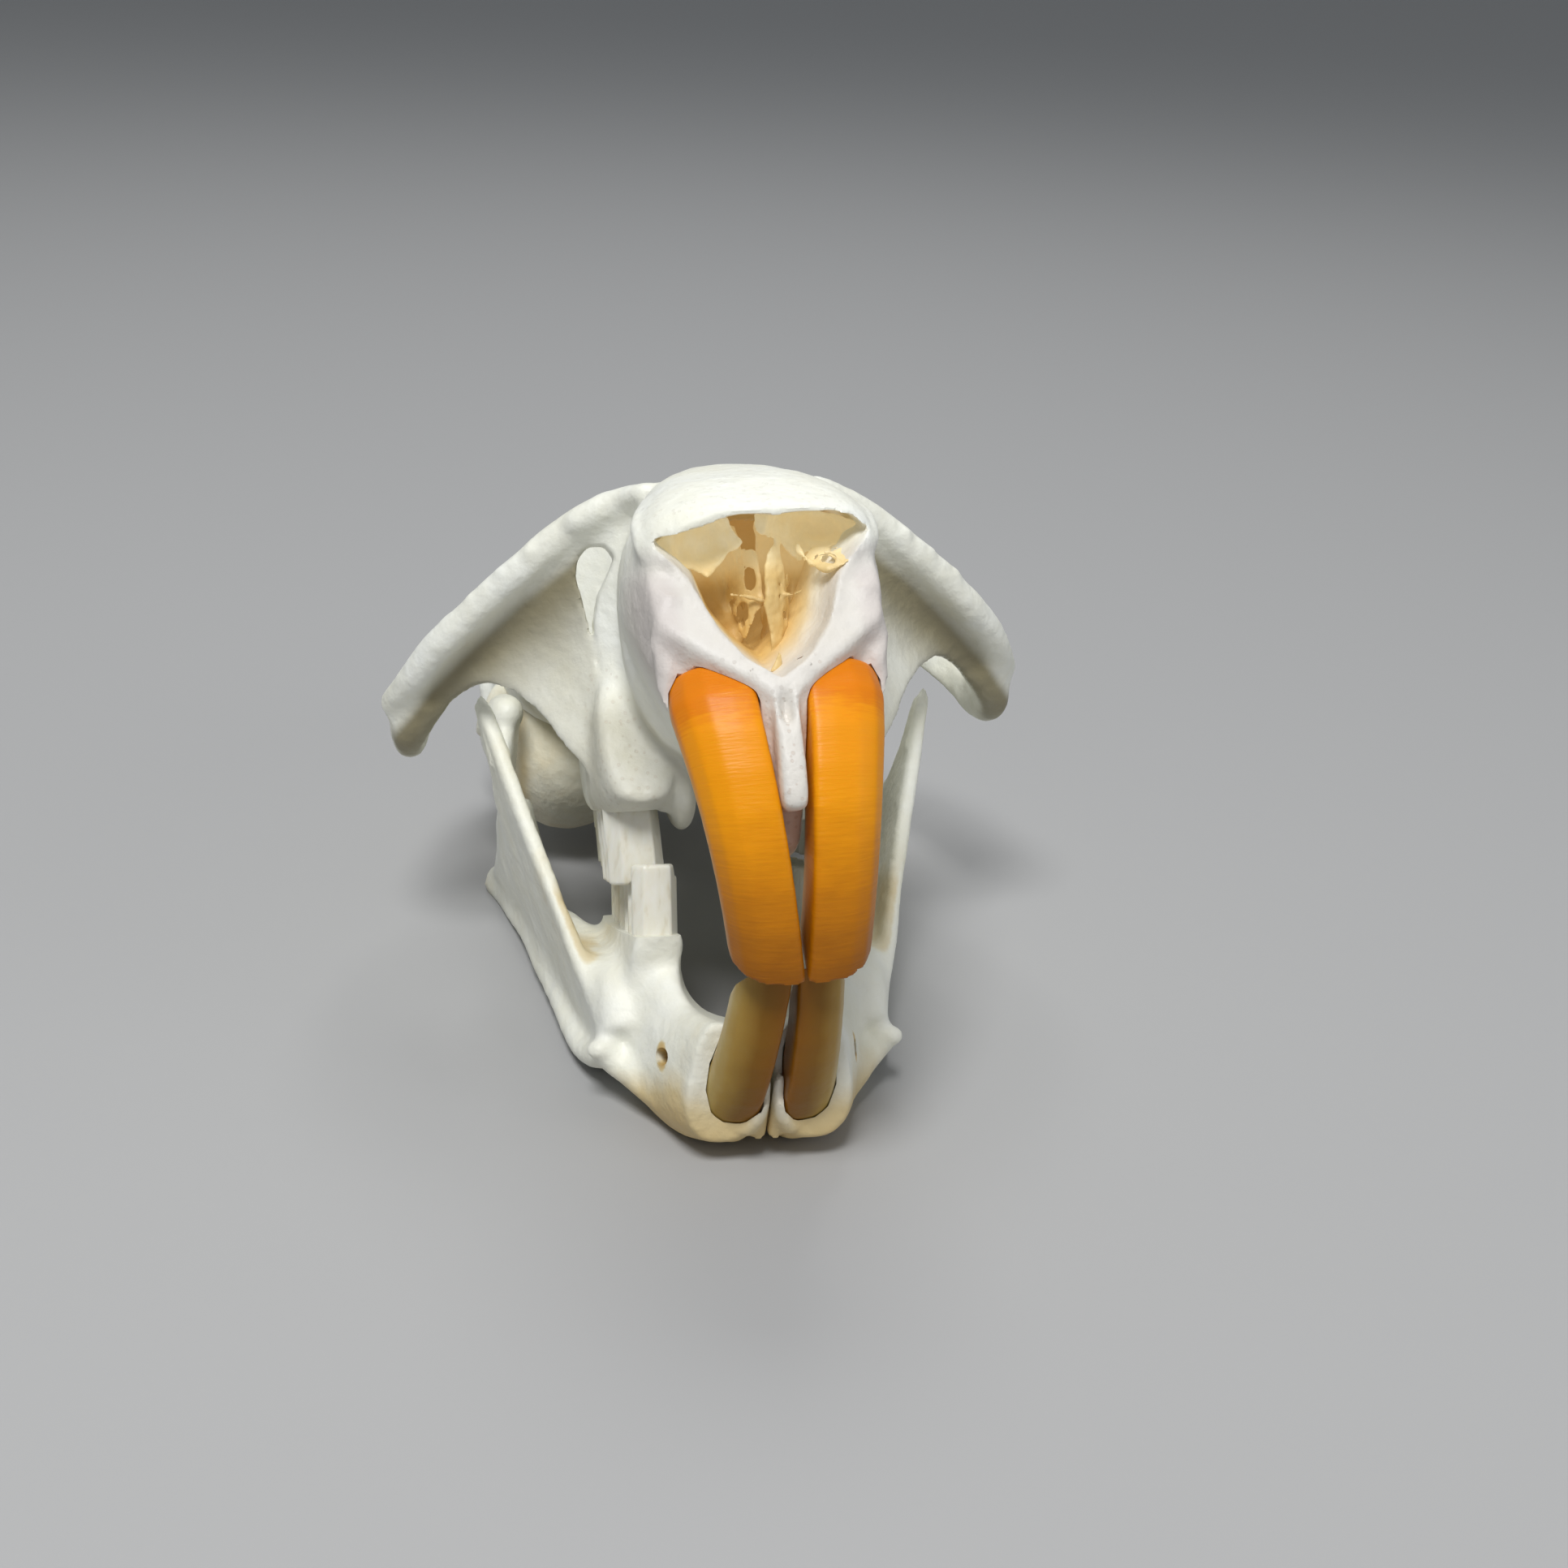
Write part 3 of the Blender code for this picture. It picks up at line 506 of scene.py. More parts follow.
def molar_outline(length, width, lobes):
    """The zigzag outline of a cheek tooth seen from below, front at y = 0."""
    pitch = length / lobes
    outer = []
    inner = []
    for i in range(lobes):
        y = pitch * (i + 0.35)
        outer.append((width / 2, y))
        outer.append((width * 0.16, y + pitch * 0.5))
        inner.append((-width / 2, y + pitch * 0.35))
        inner.append((-width * 0.16, y + pitch * 0.85))
    front = [(-width * 0.3, 0), (width * 0.25, 0)]
    return front + outer[:-1] + [(width * 0.2, length)] + list(reversed(inner[:-1]))


# The upper and lower edges of the left cheek plate and arch, and how far the sheet between them sinks.
ARCH_TOP = [
    (4.8, 18, 22.4), (8.7, 20.2, 20.9), (12, 21.9, 18.6), (15.3, 24.2, 15.9), (17.4, 26.2, 14),
    (18.9, 28.6, 12.2), (19.9, 31.5, 11.2), (19.3, 35, 12.4), (17.4, 38.6, 15), (14.4, 41.6, 16.6),
    (10.6, 43.4, 17.2),
]
ARCH_BOTTOM = [
    (6, 17.8, 3.6), (9.6, 20.6, 7), (11.8, 23, 10.2), (14.2, 26, 11.8), (16.2, 28.6, 11),
    (17.8, 30.8, 9.2), (18.6, 33.2, 7.9), (18, 36, 9), (16.2, 39, 11.6), (13.6, 41.6, 13.6),
    (10.6, 43.6, 14.4),
]
ARCH_BOWS = [1, 1.8, 2, 1.4, 0.8, 0.4, 0, 0, 0, 0, 0]


def cheekbone():
    """The plate and arch, a sunken sheet under a thick ridge."""
    ridge = tube([(x, y, z, 1.1, 1.05) for x, y, z in ARCH_TOP[:7]])
    jugal = tube([
        (17.4, 28.6, 11.4, 0.9, 0.9), (19, 31, 10, 1.2, 1.8), (18.9, 33.6, 9.6, 1.1, 1.9),
        (18.1, 36.4, 11, 0.9, 1.5),
    ])
    return [blade(ARCH_TOP, ARCH_BOTTOM, 0.75, ARCH_BOWS), ridge, jugal]


def face_pieces():
    """The snout, palate and the bone between the eyes, without the nasals and the septum."""
    snout = trunk([
        (0.6, 4.7, 11, 13.6, 16.4), (3, 5.8, 9.8, 14.6, 18.6), (6, 6.5, 8.6, 15.4, 20.2),
        (10, 7.1, 7.4, 15.4, 22), (15, ROSTRUM_HALF, 6.2, 15.4, 23.1), (19, 6.3, 5.4, 15.2, 23.7),
        (23, 4.6, 5.2, 15.4, 24.1), (28, INTERORBITAL_HALF, 5.6, 17, 24.4), (32, 3.5, 6.4, 17.5, 24.3),
        (36, 7, 7.4, 17, 24.1),
    ])
    palate = trunk([
        (5, 4.6, 7.8, 9, 12), (10, 3.7, 7, 9, 12), (15, 3.7, 6.2, 8.5, 12), (19, 4.4, 4.9, 7.5, 12),
        (27, 4.6, 4.9, 7, 11), (36, 4, 5.6, 7.4, 11),
    ])
    sheath = upper_incisor(UPPER.rim - 22, UPPER.rim + 32, 0.85)
    jaw = tube([
        (6.1, 17.6, 8.4, 2.2, 4.4), (6.3, 21, 6.8, 2.5, 3.8), (6.3, 28, 6.6, 2.4, 3.6),
        (6, 32.6, 6.9, 2.1, 3.3), (5.8, 34.1, 7.2, 1.3, 2.4),
    ], 3)
    return [snout, palate, *both(sheath, jaw, *cheekbone())]


def nasal_pieces():
    """The nasal bones' broad front and the thin septum between the incisors."""
    nasals = trunk([
        (5, 4.6, 17, 18.2, 20.3), (6.2, 6.3, 16.6, 18, 21), (9, 6.5, 16.6, 18.4, 22.3),
        (13, 6, 17.4, 19, 23.3), (18, 4.8, 17.4, 19, 24), (25, 2.8, 17.4, 19, 24.4),
    ], 2.8)
    septum = trunk([
        (1.5, 1.5, 9.2, 11.2, 12.2), (2.8, 1.4, 2.4, 10.6, 13), (6, 1.3, 1.9, 10.6, 13),
        (9, 1.6, 5.4, 10, 12),
    ])
    return [nasals, septum]


def slope_cutter(near, far, reach, half_width):
    """A wedge-shaped cutter whose flat face runs through two y, z points and lies behind reach."""
    (y0, z0), (y1, z1) = near, far
    along = Vector((0, y1 - y0, z1 - z0)).normalized()
    out = Vector((0, -along.z, along.y)) * reach
    start = Vector((0, y0, z0)) - along * 20
    end = Vector((0, y1, z1)) + along * 20
    rings = []
    for x in (-half_width, half_width):
        shift = Vector((x, 0, 0))
        rings.append([start + shift, end + shift, end + out + shift, start + out + shift])
    return skin(rings)


def under_plane(a, b, c, xs, ys, bottom):
    """A cutter that fills everything under the plane through three points, within ranges of x and y."""
    a, b, c = Vector(a), Vector(b), Vector(c)
    normal = (b - a).cross(c - a)

    def height(x, y):
        return a.z - (normal.x * (x - a.x) + normal.y * (y - a.y)) / normal.z

    rings = []
    for x in xs:
        tops = [Vector((x, y, height(x, y))) for y in ys]
        rings.append([tops[0], tops[1], Vector((x, ys[1], bottom)), Vector((x, ys[0], bottom))])
    return skin(rings)


def nose_cavity():
    """The nose opening, wide under the nasals and narrowing to a notch, and the blind passage behind it."""
    foot = 11.1
    height = 8.2
    outline = [
        (0, foot), (1.8, 12.4), (3, 13.8), (3.7, 15.3), (4.2, 16.4), (5.1, 17.3), (6.5, 18.5),
        (5.5, 19.4), (4.2, 19.8), (2.4, 19.9), (0.9, 19.7), (0, 19.8),
    ]
    right_edge = [(-1.2, 19.9), (-2.2, 19.7), (-3.8, 19.2), (-5.2, 18.8)]
    loop = outline + right_edge + [(-x, z) for x, z in reversed(outline[1:7])]
    # Each station holds its y, its width as a share, its floor and its roof.
    stations = (
        (-6, 1, foot, 17.4), (1.4, 1, foot, 18.6), (5, 0.95, 11.3, 19.3), (9, 0.85, 12.4, 20.6),
        (13, 0.75, 13.2, 21.2), (17, 0.4, 14.2, 19.6),
    )
    rings = []
    for y, wide, floor, roof in stations:
        tall = roof - floor
        rings.append([Vector((x * wide, y, floor + tall * (z - foot) / height)) for x, z in loop])
    return skin(rings)


def braincase_pieces():
    case = trunk([
        (31, 3.6, 9.6, 17, 24.3), (34, 5.6, 8.8, 17, 24.2), (37.5, 9.4, 8.2, 16.4, 24),
        (42, 11.4, 7.9, 15.6, 23.6), (48, 12, 7.7, 15, 23.1), (54, BRAINCASE_HALF, 7.6, 14.4, 22.5),
        (59, 12.7, 7.4, 13.8, 21.4), (61.4, 12, 7.8, 13.6, 20.2),
    ], 3)
    corner = tube([(6, 39.5, 20.6, 2, 1.6), (10.4, 35.8, 20.6, 0.8, 0.7)])
    root = tube([(9, 43.4, 15.6, 2.2, 2), (14.6, 42.2, 15.2, 1.2, 1.6)])
    mastoid = blob((11.2, 58, 9.6), (2.6, 3.4, 4.2))
    paroccipital = tube([(9.6, 59.6, 9, 1.8, 1.4), (9.6, 60.2, 4.6, 0.9, 0.8)], 2.2, 12, (0, 1, 0))
    condyle = blob((3.5, 61.8, 9), (1.7, 2.4, 2.8))
    pterygoid = tube([(2.9, 33, 7.6, 0.8, 2.4), (2.8, 39, 7.2, 0.7, 2.4), (3.6, 45, 6.8, 0.7, 2)])
    crest = tube([
        (12.9, 57, 12, 0.8, 0.8), (11.6, 60.4, 17, 0.8, 0.8), (7.6, 61.2, 19.6, 0.8, 0.8),
        (0, 61.6, 20.3, 0.8, 0.8),
    ])
    base = trunk([(33, 2.6, 7.2, 9, 12), (45, 2.6, 6.6, 8, 12), (61, 3.2, 6.4, 8, 12)])
    return [case, base, *both(corner, root, mastoid, paroccipital, condyle, pterygoid, crest)]


# The left ear capsule.
BULLA_CENTRE = (7.8, 51, 7.3)
BULLA_RADII = (5, 6.8, 5.7)


def bulla_shapes(spread=0):
    body = blob(BULLA_CENTRE, [radius + spread for radius in BULLA_RADII])
    ear = tube([
        (9, 51.6, 8.6, 2.2 + spread, 2.2 + spread),
        (13.2 + spread, 52.6, 10.8, 2.2 + spread, 2.2 + spread),
    ])
    return [body, ear]


def ramus_x(y, z):
    """How far out the jaw's upright plate stands."""
    lean = 8 + 0.077 * (y - 19) + 0.27 * (z + 10)
    back = max(0, y - 34) * max(0, z + 1)
    return lean - 0.034 * back


def mandible_pieces():
    body = tube([
        (1.8, 5.5, -9.6, 1.7, 3), (2, 8.6, -10.6, 2, 3.3), (2.7, 12.5, -11.2, 2.5, 3.8),
        (3.7, 16.5, -10.9, 2.7, 4.1), (5.6, 21, -8.4, 2.3, 4.4), (7.1, 26, -7.6, 2.3, 3.2),
        (8.8, 32, -6, 2, 2.6), (10.4, 38, -3.8, 1.3, 2), (11.6, 43, 3, 1.2, 2.2),
    ], 2.4)
    row = tube([
        (5.3, 18, -6.8, 1.7, 4.4), (5.5, 22, -5.4, 1.8, 3), (5.6, 28, -5.4, 1.7, 3),
        (5.8, 33.6, -5.2, 1.7, 2.8),
    ], 3)
    chin = blob((1.8, 15.4, -12.7), (1.8, 5, 2.8))
    edge = tube([
        (8.2, 18.9, -10.9, 0.7, 0.7), (6.3, 17.2, -12.1, 1, 1), (4.3, 15.4, -13.3, 1.2, 1.2),
        (2.6, 13.6, -14, 1.1, 1.1),
    ])
    upright = plate([
        (18.6, -11.6), (19, -8.4), (21.4, -4.2), (24, -0.4), (26.4, 3.4), (28.6, 7.8), (30.4, 10.4),
        (31.6, 10), (32.4, 7), (34.8, 4.6), (38, 4.8), (41, 7.6), (43.4, 10.6), (45, 9.8), (44.6, 5.6),
        (43.4, 1.8), (45.2, -0.6), (48, -1.2), (48, -3), (44, -4.4), (36, -6.4), (28, -9.4),
    ], ramus_x, 0.55)
    knuckle = blob((12, 43.8, 9.8), (1.3, 2.3, 1.3))
    knob = blob((8.4, 18.6, -10.3), (0.9, 1.1, 0.9))
    crest = tube([
        (7.7, 18.8, -10.6, 1, 0.9), (8.9, 23, -10.9, 1, 0.8), (9.8, 29, -8.7, 0.9, 0.8),
        (10.8, 37, -5.5, 0.9, 0.8), (11.7, 44, -3.4, 0.9, 0.9), (12.7, 47.6, -2, 0.9, 1),
    ])
    return [body, row, chin, edge, upright, knuckle, knob, crest]


def table_cutter():
    """Everything below the plane that the lower jaw rests on."""
    reach = 32
    far = (CHIN_Y + reach, CHIN_Z + reach * math.tan(math.radians(REST_TILT)))
    return slope_cutter((CHIN_Y, CHIN_Z), far, -30, 60)


def leaf(outline, depth, half_thickness=LEAF_HALF):
    """A thin sheet across the nose, with an outline of x, z points and its middle at y = depth(x, z)."""
    points, faces = plate(outline, depth, half_thickness)
    return [Vector((point.y, point.x, point.z)) for point in points], faces


def nose_rim():
    """The raised rim of the left half of the nose opening, from the notch up to the nasal bone."""
    return tube([
        (0.1, 1.7, 11.2, 0.45, 0.4), (0.9, 2.1, 11.8, 0.42, 0.4), (1.8, 2.7, 12.7, 0.42, 0.4),
        (2.7, 3.6, 14.1, 0.42, 0.42), (3.5, 4.6, 15.4, 0.42, 0.45), (4, 5.3, 16.4, 0.42, 0.45),
        (4.9, 5.9, 17.1, 0.42, 0.45), (5.7, 6.3, 17.7, 0.42, 0.45), (6.4, 6.8, 18.5, 0.4, 0.4),
        (6.5, 7.9, 19.6, 0.35, 0.35), (6.1, 9.6, 20.6, 0.3, 0.3), (5.4, 11.6, 21.5, 0.25, 0.25),
    ])


def socket_lip():
    """The thin bone that hugs the outer side of the left upper incisor at its rim."""
    return tube([
        (5, 5.4, 15.6, 0.9, 1.2), (5.4, 4.9, 14, 0.8, 1), (5.8, 4.7, 12.6, 0.55, 0.8),
        (5.75, 4.4, 11.4, 0.45, 0.7), (5.6, 4.4, 10.4, 0.35, 0.6), (5.4, 4.6, 9.3, 0.22, 0.5),
    ])


def socket_side():
    """The bone beside the left upper incisor, between its rim and the snout."""
    return blob((4.9, 8.2, 11.6), (0.85, 4.2, 2.3))


def arch_bumps():
    """The small bumps on the left cheekbone's ridge where the muscle was attached."""
    places = [
        (11.4, 20.6, 19.6), (12.4, 21.3, 18.9), (13.1, 21.7, 18.5), (14.1, 22.5, 17.6), (14.9, 23, 17.1),
        (16.3, 24.4, 15.7),
    ]
    return [blob(place, (0.5, 0.45, 0.5)) for place in places]


def brow():
    """The front root of the right cheekbone, which rises higher over the snout than the left one."""
    return tube([
        (-4.2, 16, 22.4, 1.2, 0.7), (-6, 18.6, 22.2, 1.3, 0.85), (-7.4, 19, 21.75, 1.2, 0.85),
        (-9, 19.6, 20.9, 1, 0.75),
    ])


def temple_line():
    """The low line on the left of the braincase where the temple muscle ended."""
    return tube([
        (2.6, 33, 24, 0.35, 0.4), (6.4, 39, 23.5, 0.35, 0.4), (8.6, 47, 22.5, 0.35, 0.4),
        (9.6, 56, 21, 0.35, 0.4),
    ])


def cranium():
    """The face, braincase and cheekbones in one, before they are cut apart at their seams."""
    rim = under_plane((1, 1.4, 10.25), (5.6, 3.6, 13.6), (5.3, 7.2, 8.6), (0.7, 14), (-10, 9), -20)
    front = slope_cutter((1.3, 11), (6.6, 18.3), 30, 30)
    # The snout narrows below, toward the outer side of the incisor.
    flank = prism(
        [(4.3, 6), (4.75, 8.7), (5.65, 10.9), (6.42, 12.5), (7.1, 14.6), (12, 18), (12, 4)],
        [(-5, 0.3, 0), (4, 0.3, 0), (8, 0, 0), (13, 0, 0), (16, 1.6, 0)],
    )
    magnum = tube([(0, 70, 10.6, 3.1, 2.7), (0, 60.5, 11.6, 3.1, 2.7), (0, 55, 12.6, 2.9, 2.5)])
    # The opening under the cheekbone's root, round above and drawn out into a slit below.
    opening = prism([
        (6.5, 18.9), (7, 19.7), (8, 19.75), (8.6, 19), (8.75, 18), (8.5, 16.8), (8.25, 15.2), (8, 13.6),
        (7.85, 12.2), (7.5, 12.2), (7.7, 13.6), (7.85, 15.2), (7.5, 16.8), (6.9, 18),
    ], [(12, 0, 0), (27, 0, 0)])
    lobes = both(blob((3.5, 20, 4.9), (0.95, 3.2, 2.4)), blob((4.3, 18.8, 7.2), (1.9, 2.1, 3.6)))
    whole = object_of("cranium", [*face_pieces(), *braincase_pieces(), *both(temple_line()), brow()])
    remeshed(whole, ROUGH_GRAIN, 13)
    carved(whole, [front, *both(rim, flank), magnum])
    joined(whole, [*nasal_pieces(), *both(nose_rim(), socket_lip(), socket_side(), *arch_bumps())])
    remeshed(whole, BONE_GRAIN, 8)
    carved(whole, [nose_cavity(), *both(opening), box((-30, 17, -30), (30, FACE_END, ALVEOLUS))])
    largest_piece(whole)
    joined(whole, lobes)
    remeshed(whole, FINE_GRAIN, 3)
    uneven(whole, 5, 0.25)
    uneven(whole, 1.2, 0.07)
    carved(whole, both(upper_incisor(spread=SNUG)) + both(*bulla_shapes(SNUG)))
    largest_piece(whole)
    return whole


def ridge_height(across):
    """How high the cheekbone's ridge stands at that distance from the midline."""
    outs = [point[0] for point in ARCH_TOP[:7]]
    ups = [point[2] for point in ARCH_TOP[:7]]
    return np.interp(across, outs, ups)


def behind_rim(y, z):
    """How far behind the sloping rim of the nose opening a point lies."""
    return y - (RIM_FOOT_Y + (z - RIM_FOOT_Z) * RIM_SLOPE)


def in_nose(x, y, z):
    """Whether a point lies in the nose opening rather than on the snout's outer side."""
    reach = np.interp(z, (11, 12.4, 13.8, 15.3, 16.4, 17.3, 18.5), (0.6, 2.1, 3.3, 4, 4.5, 5.3, 6.4))
    reach = np.where(y > 9, np.minimum(reach, 5.3), reach)
    return (np.abs(x) < reach) & (z > 10.9) & (z < 20.5) & (y < 17.5)


# A faint tan over the whole cranium, and painted shade: a tan that deepens further back inside the nose.
def cranium_tan_and_shade(x, y, z, normals):
    nose = in_nose(x, y, z) * (0.08 + 0.6 * step(1.4, 6, behind_rim(y, z)))
    return np.maximum(nose, 0.08)


def cranium_olive_shade(x, y, z, normals):
    """Painted shade: olive in the hollow under the cheekbone's ridge, over a little real stain; and the front
    of the maxilla painted darker olive.
    """
    out = np.abs(x)
    maxilla = 0.62 * step(14, 16, y) * step(24, 22, y) * step(12.5, 9, z) * step(10, 8.5, out)
    below = ridge_height(out) - z
    hollow = step(0.4, 2.4, below) * (1 - 0.5 * step(2.5, 9, below))
    hollow = hollow * step(7.4, 8.2, out) * step(35, 33, y) * step(0.1, -0.3, normals[1])
    return np.maximum(hollow, maxilla)


def cranium_glow(x, y, z, normals):
    """Painted light: where the thin bones of the nose glow, standing in for light that shines through them.
    """
    return in_nose(x, y, z) * step(0.8, 3.5, behind_rim(y, z))


def cranium_pink(x, y, z, normals):
    out = np.abs(x)
    snout = step(3, 5.5, out) * step(9, 7.6, out) * step(14, 6, y)
    snout = snout * step(19, 16, z) * step(8.5, 11, z)
    front = step(9, 5, y) * step(19, 17.5, z)
    return np.maximum(0.9 * snout, 0.6 * front)


def cranium_pores(x, y, z, normals):
    out = np.abs(x)
    septum = step(1.6, 0.9, out) * step(11, 9.5, z) * step(4.5, 3, y)
    maxilla = step(9.5, 8, out) * step(4, 5.5, out) * step(14, 16.5, y) * step(15, 11, z)
    dome = 0.35 * step(18, 20, z) * step(20, 12, y)
    angle, front = arc_place(x, y, z, UPPER)
    rim = step(-0.2, 0.4, front) * step(UPPER.rim + 8, UPPER.rim + 5, angle) * (out > 1.6)
    return np.maximum(np.maximum(septum, 0.6 * maxilla), np.maximum(dome, 0.8 * rim))


CRANIUM_PAINT = (
    ("warm", cranium_tan_and_shade),
    ("olive_shade", cranium_olive_shade),
    ("glow", cranium_glow),
    ("pink", cranium_pink),
    ("pores", cranium_pores),
)


def skull_bones(pose, look):
    """Cuts the cranium into its bones."""
    whole = cranium()
    behind = block(y=(FACE_END, BACK_REACH))
    ahead = block(y=(FRONT_REACH, FACE_END))
    beyond = block((PLATE_START, LEFT_REACH))
    root = block((SQUAMOSAL_END, LEFT_REACH), (ROOT_FRONT, ROOT_BACK), (ROOT_FLOOR, UP_REACH))
    round_plate = [
        block((-LEFT_REACH, PLATE_START)),
        block((JUGAL_START, LEFT_REACH)),
        block(y=(ARCH_FRONT, BACK_REACH)),
    ]
    round_arch = [
        block((-LEFT_REACH, SQUAMOSAL_END)),
        block((-LEFT_REACH, JUGAL_START), (FRONT_REACH, ARCH_FRONT)),
        block(y=(ROOT_BACK, BACK_REACH)),
    ]
    cutters = {"face": [behind, *both(beyond)], "braincase": [ahead, *both(root)]}
    for side, turned in (("left", lambda piece: piece), ("right", mirrored)):
        cutters[f"zygomatic_plate_{side}"] = [turned(piece) for piece in round_plate]
        cutters[f"zygomatic_arch_{side}"] = [turned(piece) for piece in round_arch]
    made = {node: part_of(whole, f"{node}_bone", pieces) for node, pieces in cutters.items()}
    bpy.data.objects.remove(whole, do_unlink=True)
    for node, thing in made.items():
        for name, rule in CRANIUM_PAINT:
            painted(thing, name, rule)
        finished(thing, pose, look, [node])


def mirror_copy(left):
    """The right piece that mirrors a left one."""
    made = placed(left.name.replace("left", "right"), left.data.copy())
    made.data.transform(Matrix.Diagonal((-1, 1, 1, 1)))
    made.data.flip_normals()
    return made


def finished_pair(left, right, pose, look, node):
    """Finishes a left piece and a right one, whose nodes are named after the pair."""
    finished(left, pose, look, [f"{node}_left"])
    finished(right, pose, look, [f"{node}_right"])


def ear_capsules(pose, look):
    opening = tube([(11.4, 52.1, 9.8, 1.3, 1.3), (16, 53.4, 12.4, 1.5, 1.5)])
    left = object_of("bulla_left_bone", bulla_shapes())
    remeshed(left, CAPSULE_GRAIN, 8)
    carved(left, [opening])
    remeshed(left, CAPSULE_GRAIN, 2)
    uneven(left, 3, 0.2)
    painted(left, "warm", lambda x, y, z, normals: 0.22 + 0.2 * step(12, 11, x) * step(10.5, 11.5, x))
    finished_pair(left, mirror_copy(left), pose, look, "bulla")


# A faint tan over the jaw, and painted shade: in the hollow between the cheek teeth and the ramus, round the
# nerve opening and under the chin.
def jaw_tan_and_shade(x, y, z, normals):
    out = np.abs(x)
    trough = step(5, 7, out) * step(17, 19.5, y) * step(30, 25, y)
    trough = trough * step(-9, -6, z) * step(0, -2, z) * step(0.3, -0.1, normals[0] * np.sign(x))
    inward = out - FORAMEN[0]
    away = np.hypot(y - FORAMEN[1] + 0.95 * inward, z - FORAMEN[2] - 0.2 * inward)
    foramen = step(1.05, 0.6, away) * step(FORAMEN[0] + 1, FORAMEN[0] + 0.3, out)
    chin = step(9, 12.5, y) * step(22, 16, y) * step(-10, -14, z)
    return np.maximum(0.11 + 0.2 * trough + 0.45 * chin, 0.7 * foramen * (y < 18))


def jaw_pink(x, y, z, normals):
    return 0.25 * step(12, 9.5, y) * step(-8, -12, z)


def jaw_halves(pose, look):
    rim = slope_cutter((9.4, -7.2), (11.7, -14.4), -30, 30)
    # The bone thins toward the rim of the incisor's socket: a plane takes off the outer front corner.
    taper = []
    for z, shift in ((-20, 0.5), (-4, -0.4)):
        taper.append([
            Vector((4.1 + shift, 9.4, z)),
            Vector((6.6 + shift, 16.6, z)),
            Vector((12, 16.6, z)),
            Vector((12, 2, z)),
            Vector((0.4 + shift, 2, z)),
        ])
    foramen = tube([
        (FORAMEN[0] + 1.6, FORAMEN[1] - 1.4, FORAMEN[2] + 0.3, 1, 0.7),
        (FORAMEN[0] + 0.2, FORAMEN[1] - 0.2, FORAMEN[2], 0.75, 0.5),
        (FORAMEN[0] - 1.4, FORAMEN[1] + 1.4, FORAMEN[2] - 0.3, 0.35, 0.35),
    ])
    filling = tube([
        (7.4, 18.2, -9.4, 1.2, 1.2), (7.3, 19.4, -7.4, 1.6, 1.5), (7.6, 21.6, -6.2, 1.6, 1.4),
        (8.4, 25, -5.8, 1.4, 1.2), (9.2, 29, -5.2, 1, 1),
    ])
    # The hollow between the cheek teeth and the incisor, and the one between the cheek teeth and the ramus.
    saddle = tube([
        (2.8, 6, -5, 3.15, 2.75), (1.6, 13, -5.4, 3.15, 2.75), (0.6, 19, -5.8, 3.15, 2.9),
        (-0.2, 24, -6.1, 3.15, 2.9),
    ])
    trough = prism(
        [(7, 0), (7.1, -3.8), (7.4, -4.15), (8.4, -3.7), (9.2, -2.8), (9.7, -1.9), (9.7, 0)],
        [(22.5, 0.5, 0.2), (28, 0, 0), (36, -0.6, -0.3)],
    )
    left = object_of("mandible_left_bone", [*mandible_pieces(), filling])
    remeshed(left, BONE_GRAIN, 4)
    carved(left, [skin(taper), saddle, trough])
    remeshed(left, BONE_GRAIN, 9)
    carved(left, [rim])
    largest_piece(left)
    tubercle = blob((8.75, 18.2, -10.2), (0.75, 0.7, 0.55))
    tip = tube([(13.3, 29.4, 6.6, 0.5, 0.9), (14.1, 30.2, 9.4, 0.35, 0.7), (14.5, 30.6, 10.8, 0.15, 0.25)])
    inner_lip = tube([
        (1.3, 11.75, -14.25, 0.5, 0.4), (0.9, 11.3, -13.75, 0.5, 0.4), (0.6, 10.75, -13.15, 0.4, 0.35),
        (0.45, 10.2, -12.4, 0.3, 0.3),
    ])
    inner_wall = tube([
        (0.5, 12.6, -14.6, 0.45, 0.5), (0.45, 11.6, -13.4, 0.45, 0.45), (0.4, 10.7, -12.2, 0.4, 0.4),
        (0.35, 9.9, -11, 0.3, 0.3),
    ])
    joined(left, [tubercle, tip, inner_lip, inner_wall])
    remeshed(left, FINE_GRAIN, 3)
    uneven(left, 5, 0.25)
    uneven(left, 1.2, 0.06)
    carved(left, [
        box((-30, -30, -40), (0.06, 90, 60)),
        box((2.4, 16, LOWER_ALVEOLUS), (7.3, 34.4, 20)),
        table_cutter(),
        foramen,
    ])
    right = mirror_copy(left)
    socket = lower_incisor(spread=SNUG)
    carved(left, [swung_piece(socket, LOWER)])
    carved(right, [swung_piece(mirrored(socket), LOWER)])
    for half in (left, right):
        largest_piece(half)
        painted(half, "warm", jaw_tan_and_shade)
        painted(half, "pink", jaw_pink)
    finished_pair(left, right, pose, look, "mandible")


def incisor_pair(kind, name, piece, rounds, chisel, gap):
    """The left incisor with its cutting edge, painted with its places along and across, and the right one."""
    left = object_of(f"{name}_left_enamel", [piece])
    remeshed(left, TOOTH_GRAIN, rounds)
    carved(left, [chisel, box((-20, -30, -30), (gap, 60, 60))])
    remeshed(left, TOOTH_GRAIN, 3)
    painted(left, "along", lambda x, y, z, normals: along_arc(x, y, z, kind))
    painted(left, "across", lambda x, y, z, normals: x)
    return left, mirror_copy(left)


